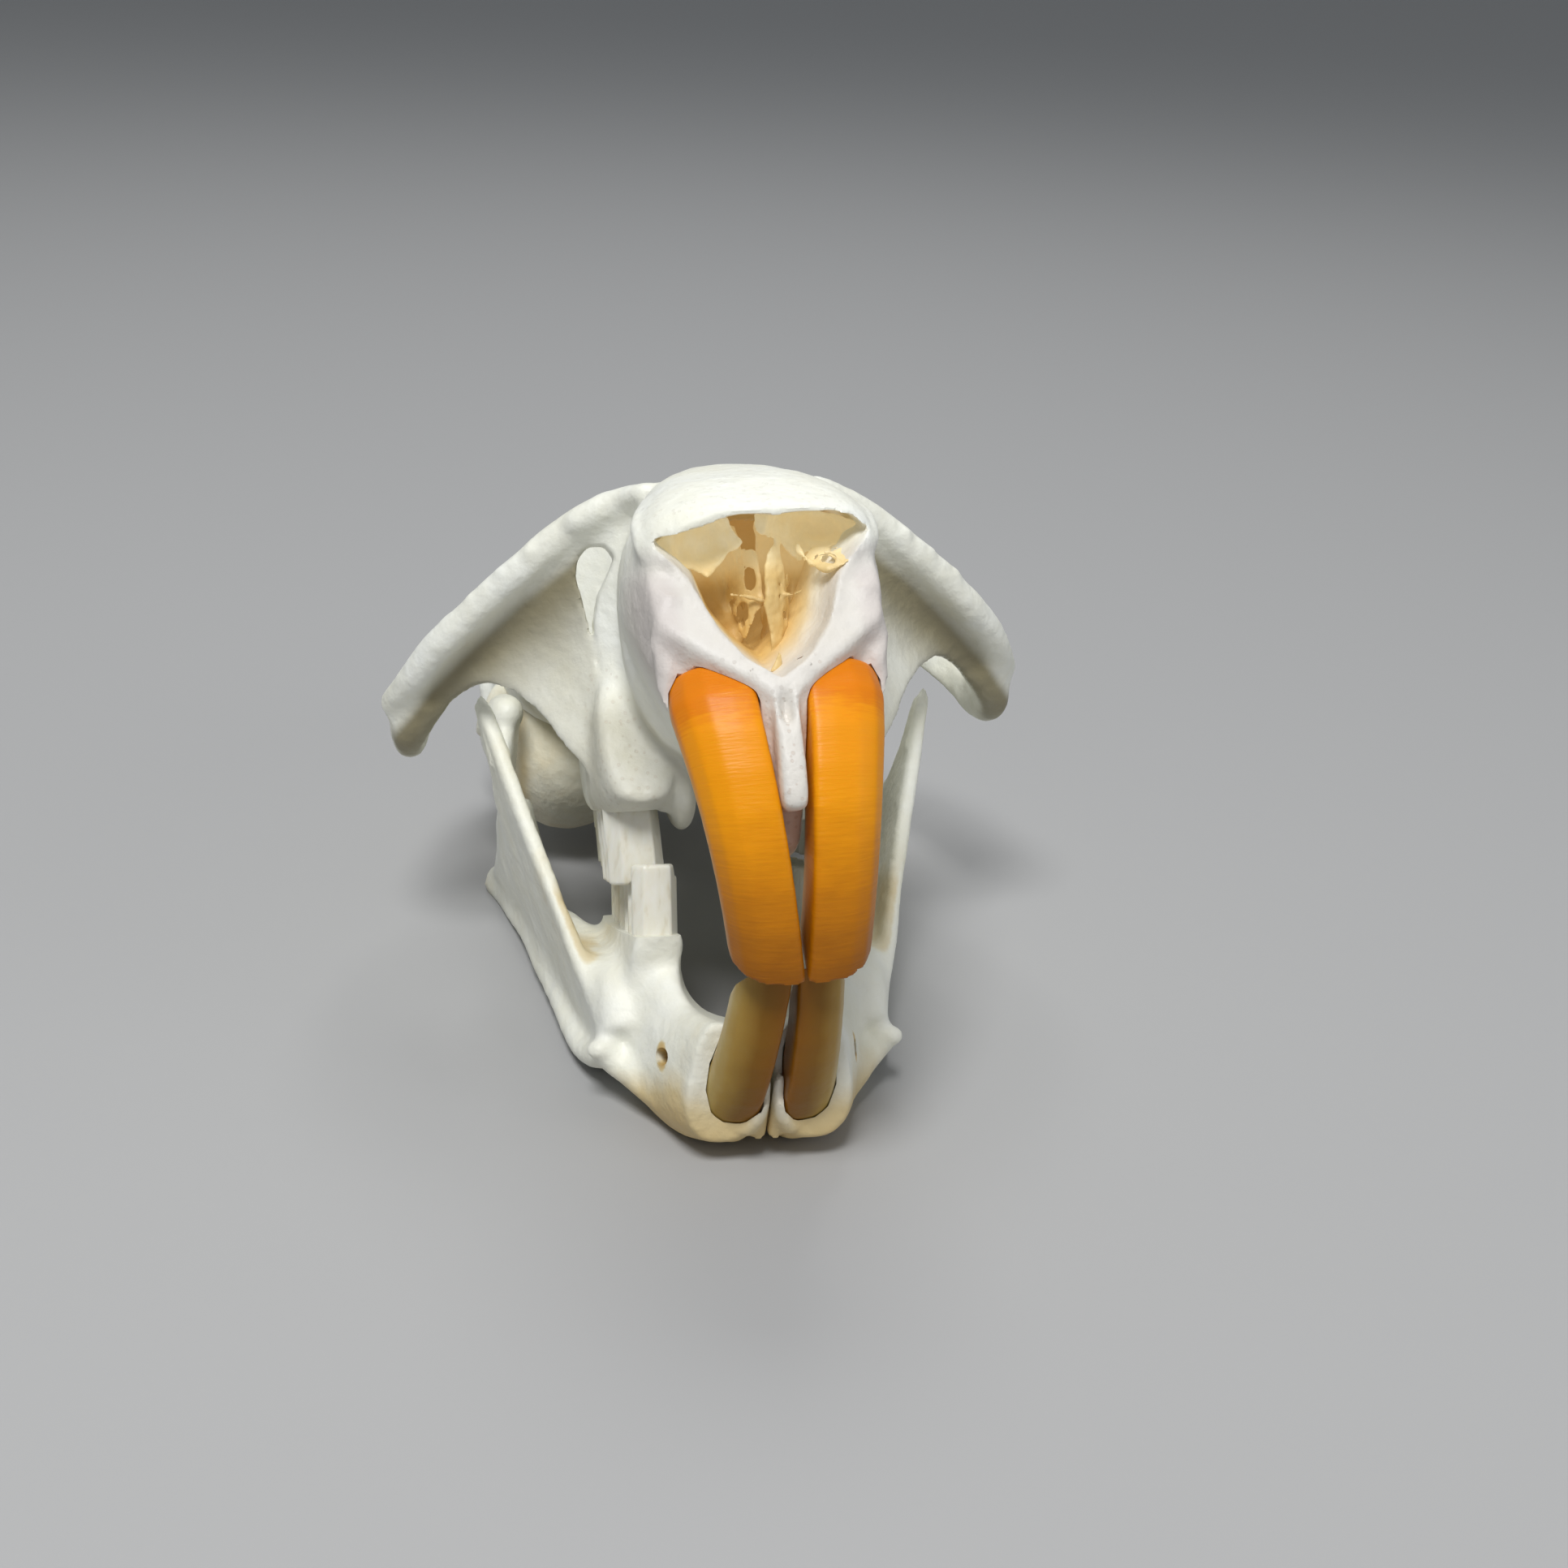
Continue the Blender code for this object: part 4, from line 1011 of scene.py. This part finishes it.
def upper_teeth(pose, look):
    chisel = slope_cutter((2.4, -5.4), (7, 0.2), -20, 20)
    left, right = incisor_pair(UPPER, "upper_incisor", upper_incisor(), 24, chisel, 0.03)
    for thing in (left, right):
        painted(thing, "dentine", lambda x, y, z, normals: step(0.1, -0.5, arc_place(x, y, z, UPPER)[1]))
    # The left tooth's edge is chipped.
    carved(left, [box((2.75, -5, -8), (6, 9, -4.5)), blob((3.75, 2.4, -4.5), (0.5, 2.4, 0.4))])
    for thing in (left, right):
        moved(thing, 0, lambda x, y, z: swing(x, y, z, UPPER))
    finished_pair(left, right, pose, look, "upper_incisor")


def lower_teeth(pose, look):
    chisel = slope_cutter((4.4, -4.4), (8.4, -6.4), 20, 20)
    left, right = incisor_pair(LOWER, "lower_incisor", lower_incisor(), 16, chisel, 0.1)
    for thing in (left, right):
        moved(thing, 0, lambda x, y, z: swing(x, y, z, LOWER))
    finished_pair(left, right, pose, look, "lower_incisor")


def cheek_tooth(name, row_x, measures, low, high, lean):
    """A fluted cheek tooth, as in the solids, with its edges worn round."""
    front, length, width, lobes = measures
    rings = []
    for share in (0, 0.33, 0.67, 1):
        z = low + (high - low) * share
        out = lean * (z - low)
        outline = molar_outline(length, width, lobes)
        rings.append([Vector((row_x + x + out, front + y, z)) for x, y in outline])
    made = object_of(name, [skin(rings)])
    remeshed(made, TOOTH_GRAIN, 3)
    return made


def tooth_row(jaw, molars, row_x, narrowing, low, high, lean, wear, pose, look):
    """One jaw's cheek teeth, each nearer to the middle by narrowing than the last; wear shapes the first."""
    for i, measures in enumerate(molars):
        node = f"{jaw}_molar_{i + 1}"
        left = cheek_tooth(f"{node}_left_tooth", row_x - narrowing * i, measures, low, high, lean)
        if i == 0:
            moved(left, 2, wear)
        finished_pair(left, mirror_copy(left), pose, look, node)


def upper_wear(x, y, z):
    return -0.55 * step(6.5, 7, x) * step(1.2, 0, z)


def lower_wear(x, y, z):
    return 0.75 * step(18.6, 18.3, y) * step(-1.2, 0, z)


def cheek_teeth(skull_pose, jaw_pose, look):
    gap = BITE_GAP / 2
    high = ALVEOLUS + 0.4
    low = LOWER_ALVEOLUS - 0.3
    tooth_row("upper", UPPER_MOLARS, UPPER_ROW_X, 0.16, gap, high, 0.05, upper_wear, skull_pose, look)
    tooth_row("lower", LOWER_MOLARS, LOWER_ROW_X, 0.2, low, -gap, 0, lower_wear, jaw_pose, look)


# A tan over the nose's thin bones, with painted shade that deepens further back and painted light that makes
# them paler at the top.
def scroll_tan_and_shade(x, y, z, normals):
    return 0.6 + 0.1 * step(8.2, 11, y) - 0.2 * step(16.5, 18, z)


# Painted light: the thin bones glow a little, and most at the top.
def scroll_glow(x, y, z, normals):
    return 0.35 + 1.4 * step(16, 17.5, z)


def hole(x, z, half_width, half_height):
    """A cutter that runs straight back through the nose."""
    return tube([(x, y, z, half_width, half_height) for y in (0, 20)])


def left_lobe_depth(x, z):
    """The left lobe bulges back from the roof, and its lower outer part hangs forward, near the rim."""
    bulge = max(7, 9.2 - 0.26 * ((x - 3.3) ** 2 + (z - 18.7) ** 2))
    outer = min(1, max(0, (x - 2.4) / 1))
    lower = min(1, max(0, (18.7 - z) / 1.6))
    return bulge - 3 * outer * lower


def scrolls(pose, look):
    """The thin curled bones in the nose, drawn one by one because the two sides are broken differently."""
    right_lobe = leaf([
        (-6.4, 18.3), (-5.4, 18.9), (-4.6, 19.4), (-3.7, 19.5), (-2.8, 20), (-1.7, 20.1), (-1.2, 19.2),
        (-0.8, 18.6), (-1.6, 17.9), (-2.2, 17.3), (-2.8, 16.8), (-3.3, 17.15), (-4.3, 17.4), (-5.2, 17.6),
    ], lambda x, z: max(7, 8.3 - 0.3 * ((x + 2.7) ** 2 + (z - 18.5) ** 2)))
    right_leaf = leaf([
        (-0.9, 18.6), (-0.1, 18.3), (0.25, 17.9), (0.35, 17.1), (0.45, 16), (0.4, 15.3), (0, 14.7),
        (-0.35, 13.9), (-0.65, 13.4), (-1.05, 14.8), (-1.45, 15.8), (-1.2, 16.7), (-1.25, 17.2),
        (-0.95, 17.7),
    ], lambda x, z: 8.8 + 0.9 * (x - 0.4) ** 2)
    right_rib = tube([(-1.4, 8.9, 15.9, 0.1, 0.1), (-0.4, 8.5, 15.7, 0.14, 0.12), (0.4, 8.4, 15.4, 0.1, 0.1)])
    right_holes = [hole(-0.2, 16.7, 0.28, 0.6), hole(-0.6, 15, 0.25, 0.5)]
    left_lobe = leaf([
        (-0.1, 20.1), (1.2, 20.4), (2.4, 20.4), (3.8, 20.2), (4.9, 19.9), (6, 19.2), (6.4, 18.5),
        (5.6, 17.9), (4.8, 17.3), (4.2, 16.95), (3.5, 16.7), (3.1, 16.9), (2.7, 17.3), (2.4, 17.5),
        (2.1, 17.9), (1.5, 18.5), (0.6, 18.8), (-0.1, 19.1),
    ], left_lobe_depth)
    left_curl = tube([
        (2.3, 7.6, 18.4, 0.13, 0.13), (2.4, 7.4, 17.9, 0.15, 0.15), (2.75, 6.7, 17.35, 0.16, 0.16),
        (3.15, 5.9, 16.95, 0.16, 0.16), (3.5, 5.4, 16.8, 0.18, 0.16), (3.9, 5.4, 17.1, 0.15, 0.15),
        (3.9, 5.8, 17.6, 0.15, 0.15), (3.5, 6.4, 17.8, 0.13, 0.13),
    ])
    left_leaf = leaf([
        (0.6, 17.9), (0.9, 18.4), (1.3, 18.5), (1.55, 17.8), (1.75, 17.3), (2.1, 16.9), (2.3, 16.4),
        (1.9, 16.1), (1.8, 15.7), (1.85, 15.2), (1.7, 14.9), (1.95, 14.3), (1.9, 13.4), (2, 11.9),
        (1.3, 11.8), (0.65, 12), (0.6, 12.8), (0.5, 13.9), (0.3, 14.9), (0.33, 16), (0.4, 17),
    ], lambda x, z: 7.6 + 0.9 * (x - 0.5) ** 2 - 0.25 * (z - 15) * (z < 15))
    left_holes = [hole(3.7, 17.35, 0.3, 0.3), hole(1.15, 15.6, 0.13, 0.13), hole(1.75, 16.9, 0.14, 0.3)]
    left_spike = tube([
        (1.5, 8.2, 15.7, 0.16, 0.14), (2, 7.6, 15.7, 0.12, 0.1), (2.7, 7, 15.95, 0.04, 0.04),
    ])
    left_tooth = leaf(
        [(0, 11.5), (0.3, 12.1), (0.6, 12.7), (0.7, 12), (0.7, 11.4)],
        lambda x, z: 5.2 + 0.3 * x,
        0.12,
    )
    right_back = leaf(
        [(-4.6, 19.4), (-0.5, 19.8), (-0.4, 13.6), (-1.2, 13.4), (-2.2, 14.8), (-3.4, 16.6)],
        lambda x, z: 11.2 + 0.25 * math.sin(4 * x + 1.5 * z),
    )
    left_back = leaf(
        [(0.5, 20), (4.8, 19.6), (3.4, 16.4), (2.4, 14.6), (1.2, 13.2), (0.6, 13.4)],
        lambda x, z: 11 + 0.25 * math.sin(4 * x - 1.5 * z),
    )
    right_pieces = [right_lobe, right_leaf, right_rib, right_back]
    left_pieces = [left_lobe, left_leaf, left_curl, left_spike, left_tooth, left_back]
    right = object_of("nose_scrolls_right", right_pieces)
    left = object_of("nose_scrolls_left", left_pieces)
    for thing, holes in ((right, right_holes), (left, left_holes)):
        remeshed(thing, LEAF_GRAIN, 1)
        carved(thing, holes)
        uneven(thing, 0.7, 0.25)
        remeshed(thing, FINE_LEAF_GRAIN, 1)
        painted(thing, "warm", scroll_tan_and_shade)
        painted(thing, "glow", scroll_glow)
    finished_pair(left, right, pose, look, "turbinate")


class Shader:
    """A Principled material under construction."""

    def __init__(self, name, roughness, subsurface, radius, specular=0.5):
        self.material = bpy.data.materials.new(name)
        self.material.use_nodes = True
        self.tree = self.material.node_tree
        self.surface = self.tree.nodes["Principled BSDF"]
        values = {
            "Roughness": roughness,
            "Specular IOR Level": specular,
            "Subsurface Weight": subsurface,
            "Subsurface Radius": radius,
            "Subsurface Scale": MM,
        }
        for name, value in values.items():
            self.give(name, value)
        self.place = self.tree.nodes.new("ShaderNodeTexCoord").outputs["Object"]

    def link(self, value, socket):
        if isinstance(value, bpy.types.NodeSocket):
            self.tree.links.new(value, socket)
        else:
            socket.default_value = value

    def give(self, name, value):
        """Sets or links an input of the surface."""
        self.link(value, self.surface.inputs[name])

    def node(self, kind, output, inputs, **settings):
        """An output of a new node, whose inputs are set or linked."""
        made = self.tree.nodes.new("ShaderNode" + kind)
        for name, value in settings.items():
            setattr(made, name, value)
        for name, value in inputs.items():
            self.link(value, made.inputs[name])
        return made.outputs[output]

    def attribute(self, name):
        return self.node("Attribute", "Fac", {}, attribute_name=name)

    def maths(self, operation, *values, clamp=False):
        return self.node("Math", "Value", dict(enumerate(values)), operation=operation, use_clamp=clamp)

    def times(self, value, factor):
        return self.maths("MULTIPLY", value, factor)

    def plus(self, base, value, factor, clamp=False):
        """The base with a share of another value added."""
        return self.maths("MULTIPLY_ADD", value, factor, base, clamp=clamp)

    def combine(self, x, y, z):
        return self.node("CombineXYZ", "Vector", {"X": x, "Y": y, "Z": z})

    def stretched(self, x, y, z):
        """The place, drawn out along the axes whose factor is small."""
        return self.node("Mapping", "Vector", {"Vector": self.place, "Scale": (x, y, z)})

    def noise(self, size, detail, place=None):
        """Noise whose patches are about size millimetres across."""
        place = self.place if place is None else place
        return self.node("TexNoise", "Fac", {"Vector": place, "Scale": 1.0 / (size * MM), "Detail": detail})

    def clouds(self, size, detail):
        """Noise about zero."""
        return self.maths("SUBTRACT", self.noise(size, detail), 0.5)

    def pits(self, size):
        return self.node("TexVoronoi", "Distance", {"Vector": self.place, "Scale": 1.0 / (size * MM)})

    def ramp(self, value, stops):
        made = self.tree.nodes.new("ShaderNodeValToRGB")
        self.link(value, made.inputs["Fac"])
        elements = made.color_ramp.elements
        while len(elements) < len(stops):
            elements.new(1.0)
        for element, (place, colour) in zip(elements, stops):
            element.position = place
            element.color = (*colour, 1.0)
        return made.outputs["Color"]

    def mix(self, share, first, second):
        made = self.tree.nodes.new("ShaderNodeMix")
        made.data_type = "RGBA"
        self.link(share, made.inputs["Factor"])
        colours = [socket for socket in made.inputs if socket.type == "RGBA"]
        for socket, value in zip(colours, (first, second)):
            self.link((*value, 1.0) if isinstance(value, tuple) else value, socket)
        return next(socket for socket in made.outputs if socket.type == "RGBA")

    def bump(self, height, depth):
        inputs = {"Height": height, "Distance": depth * MM, "Strength": 1.0}
        self.give("Normal", self.node("Bump", "Normal", inputs))


def bone_look():
    look = Shader("bone", 0.5, 0.0, (1.0, 0.75, 0.45))
    blotches = look.clouds(6.0, 4.0)
    grain = look.clouds(0.9, 5.0)
    # The tan channel holds the bone's tan tints and painted shade: deeper inside the nose, in the jaw's
    # hollows and under its chin.
    warm = look.plus(look.attribute("warm"), blotches, 0.35)
    warm = look.plus(warm, grain, 0.12, clamp=True)
    colour = look.ramp(warm, (
        (0.0, (0.87, 0.88, 0.82)),
        (0.15, (0.83, 0.82, 0.70)),
        (0.4, (0.68, 0.55, 0.30)),
        (0.7, (0.62, 0.42, 0.15)),
        (1.0, (0.42, 0.22, 0.07)),
    ))
    colour = look.mix(look.attribute("pink"), colour, (0.62, 0.565, 0.535))
    # Painted olive shade under the cheekbone's ridge, and the darker front of the maxilla.
    olive_shade = look.plus(look.attribute("olive_shade"), blotches, 0.3, clamp=True)
    colour = look.mix(look.times(olive_shade, look.attribute("olive_shade")), colour, (0.25, 0.22, 0.13))
    pits = look.times(look.maths("LESS_THAN", look.pits(0.5), 0.22), look.attribute("pores"))
    colour = look.mix(look.times(pits, 0.22), colour, (0.42, 0.25, 0.15))
    look.give("Base Color", colour)
    # Painted light: the thin bones in the nose glow faintly in their own colour.
    look.give("Emission Color", colour)
    look.give("Emission Strength", look.times(look.attribute("glow"), 0.22))
    look.bump(look.plus(look.noise(0.7, 6.0), pits, -1.2), 0.1)
    return look.material


def orange_look():
    look = Shader("enamel_orange", 0.4, 0.15, (1.0, 0.45, 0.12), 0.22)
    along = look.attribute("along")
    across = look.attribute("across")
    lines = look.noise(1.0, 4.0, look.combine(look.times(along, 0.09), look.times(across, 0.0006), 0.0))
    place = look.plus(along, look.clouds(2.5, 3.0), 0.25)
    place = look.plus(place, look.maths("SUBTRACT", lines, 0.5), 0.2, clamp=True)
    # Darker toward the tip, partly the tooth's own colour and partly painted shade, and a little darker at
    # the rim of the socket.
    colour = look.ramp(place, (
        (0.0, (0.34, 0.11, 0.002)),
        (0.3, (0.55, 0.19, 0.002)),
        (0.65, (0.82, 0.31, 0.002)),
        (0.9, (0.84, 0.30, 0.004)),
        (1.0, (0.74, 0.21, 0.004)),
    ))
    look.give("Base Color", look.mix(look.attribute("dentine"), colour, (0.72, 0.50, 0.24)))
    look.bump(lines, 0.03)
    return look.material


def amber_look():
    look = Shader("enamel_amber", 0.32, 0.3, (1.0, 0.6, 0.25), 0.25)
    # Paler toward the outer sides, and painted shade toward the midline, where the two lower incisors meet; a
    # little darker toward the sockets.
    outward = look.maths("ABSOLUTE", look.attribute("across"))
    place = look.plus(look.times(look.attribute("along"), -0.15), outward, 0.28)
    place = look.plus(place, look.clouds(2.0, 3.0), 0.2, clamp=True)
    colour = look.ramp(place, (
        (0.0, (0.27, 0.10, 0.004)),
        (0.4, (0.24, 0.11, 0.008)),
        (0.75, (0.38, 0.24, 0.05)),
        (1.0, (0.52, 0.42, 0.18)),
    ))
    look.give("Base Color", colour)
    look.bump(look.noise(0.5, 4.0), 0.02)
    return look.material


def ivory_look():
    look = Shader("tooth_ivory", 0.38, 0.15, (1.0, 0.7, 0.45))
    streaks = look.noise(0.5, 4.0, look.stretched(1.0, 1.0, 0.15))
    colour = look.ramp(streaks, (
        (0.25, (0.62, 0.57, 0.44)),
        (0.45, (0.74, 0.72, 0.62)),
        (0.75, (0.78, 0.77, 0.70)),
    ))
    look.give("Base Color", colour)
    look.bump(streaks, 0.05)
    return look.material


def resting_pose():
    """The matrix that lays the skull in its resting place, found from the frame's first lower cheek tooth."""
    y, length, width, lobes = LOWER_MOLARS[0]
    tilt = Matrix.Rotation(-math.radians(REST_TILT), 4, "X")
    corners = [
        tilt @ (Vector((LOWER_ROW_X + out, y + back, z)) * MM)
        for out, back in molar_outline(length, width, lobes)
        for z in (LOWER_ALVEOLUS + SEAM, -BITE_GAP / 2)
    ]
    low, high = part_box("lower_molar_1_left")
    ends = [(min(point[i] for point in corners) + max(point[i] for point in corners)) / 2 for i in range(3)]
    return Matrix.Translation((low + high) / 2 - Vector(ends)) @ tilt


# The camera as fitted to the photograph: its turns about the skull's Y, X and Z axes, how far ahead of it
# the middle of the turns lies, and its focal length in the photograph's pixels.
CAMERA_TURNS = ((-1.15, "Y"), (1.56, "X"), (11.08, "Z"))
CAMERA_SHIFT = (-2.89, 136.2, 0.89)
FOCAL_PIXELS = 2800.0
PHOTO_PIXELS = 1932.0
SENSOR = 36.0
# Each light's place, its width in metres and its power in watts.
LIGHTS = {
    "key": ((-0.10, -0.24, 0.42), 0.16, 1.85),
    "fill": ((0.36, -0.24, 0.20), 0.30, 0.25),
    "back": ((0.04, 0.24, 0.40), 0.20, 0.5),
}
LIGHTS_AIM = (0.0, -0.01, 0.015)
FLOOR_REACH = 3.0


def add_camera(jaw_pose):
    """The camera stands in front of the skull, a little to its right, where the photograph was taken from."""
    turn = Matrix.Identity(3)
    for degrees, axis in CAMERA_TURNS:
        turn = turn @ Matrix.Rotation(math.radians(degrees), 3, axis)
    place = Vector((0.0, ROLL_Y, ROLL_Z)) - turn.transposed() @ Vector(CAMERA_SHIFT)
    right, ahead, up = turn.row[0], turn.row[1], turn.row[2]
    stand = Matrix((right, up, -ahead)).transposed().to_4x4()
    stand.translation = place * MM
    data = bpy.data.cameras.new("camera")
    data.sensor_width = SENSOR
    data.lens = FOCAL_PIXELS * SENSOR / PHOTO_PIXELS
    data.clip_start = 0.01
    camera = placed("camera", data)
    camera.matrix_world = jaw_pose @ stand
    bpy.context.scene.camera = camera


def add_light(name, place, size, power):
    data = bpy.data.lights.new(name, "AREA")
    data.shape = "DISK"
    data.size = size
    data.energy = power
    light = placed(name, data)
    light.location = place
    light.rotation_euler = (Vector(place) - Vector(LIGHTS_AIM)).to_track_quat("Z", "Y").to_euler()


def add_studio():
    """The grey floor, a weak even light from all round, and three lamps."""
    mesh = bpy.data.meshes.new("floor")
    corners = [(FLOOR_REACH * x, FLOOR_REACH * y, 0) for x, y in ((-1, -1), (1, -1), (1, 1), (-1, 1))]
    mesh.from_pydata(corners, [], [(0, 1, 2, 3)])
    floor = placed("floor", mesh)
    grey = bpy.data.materials.new("floor")
    grey.use_nodes = True
    surface = grey.node_tree.nodes["Principled BSDF"]
    surface.inputs["Base Color"].default_value = (0.4, 0.4, 0.4, 1.0)
    surface.inputs["Roughness"].default_value = 0.8
    mesh.materials.append(grey)
    world = bpy.data.worlds.new("studio")
    world.use_nodes = True
    background = world.node_tree.nodes["Background"]
    background.inputs["Color"].default_value = (0.9, 0.95, 1.0, 1.0)
    background.inputs["Strength"].default_value = 0.25
    bpy.context.scene.world = world
    for name, (place, size, power) in LIGHTS.items():
        add_light(name, place, size, power)
    bpy.context.scene.view_settings.view_transform = "Standard"


def main():
    jaw_pose = resting_pose()
    pivot = Matrix.Translation(Vector((0, ROLL_Y, ROLL_Z)) * MM)
    turn = Matrix.Rotation(-math.radians(SKULL_YAW), 4, "Z")
    lean = Matrix.Rotation(-math.radians(SKULL_ROLL), 4, "Y") @ turn
    skull_pose = jaw_pose @ pivot @ lean @ pivot.inverted()
    add_camera(jaw_pose)
    add_studio()
    bone = bone_look()
    orange = orange_look()
    amber = amber_look()
    ivory = ivory_look()
    skull_bones(skull_pose, bone)
    ear_capsules(skull_pose, bone)
    scrolls(skull_pose, bone)
    upper_teeth(skull_pose, orange)
    jaw_halves(jaw_pose, bone)
    lower_teeth(jaw_pose, amber)
    cheek_teeth(skull_pose, jaw_pose, ivory)


main()
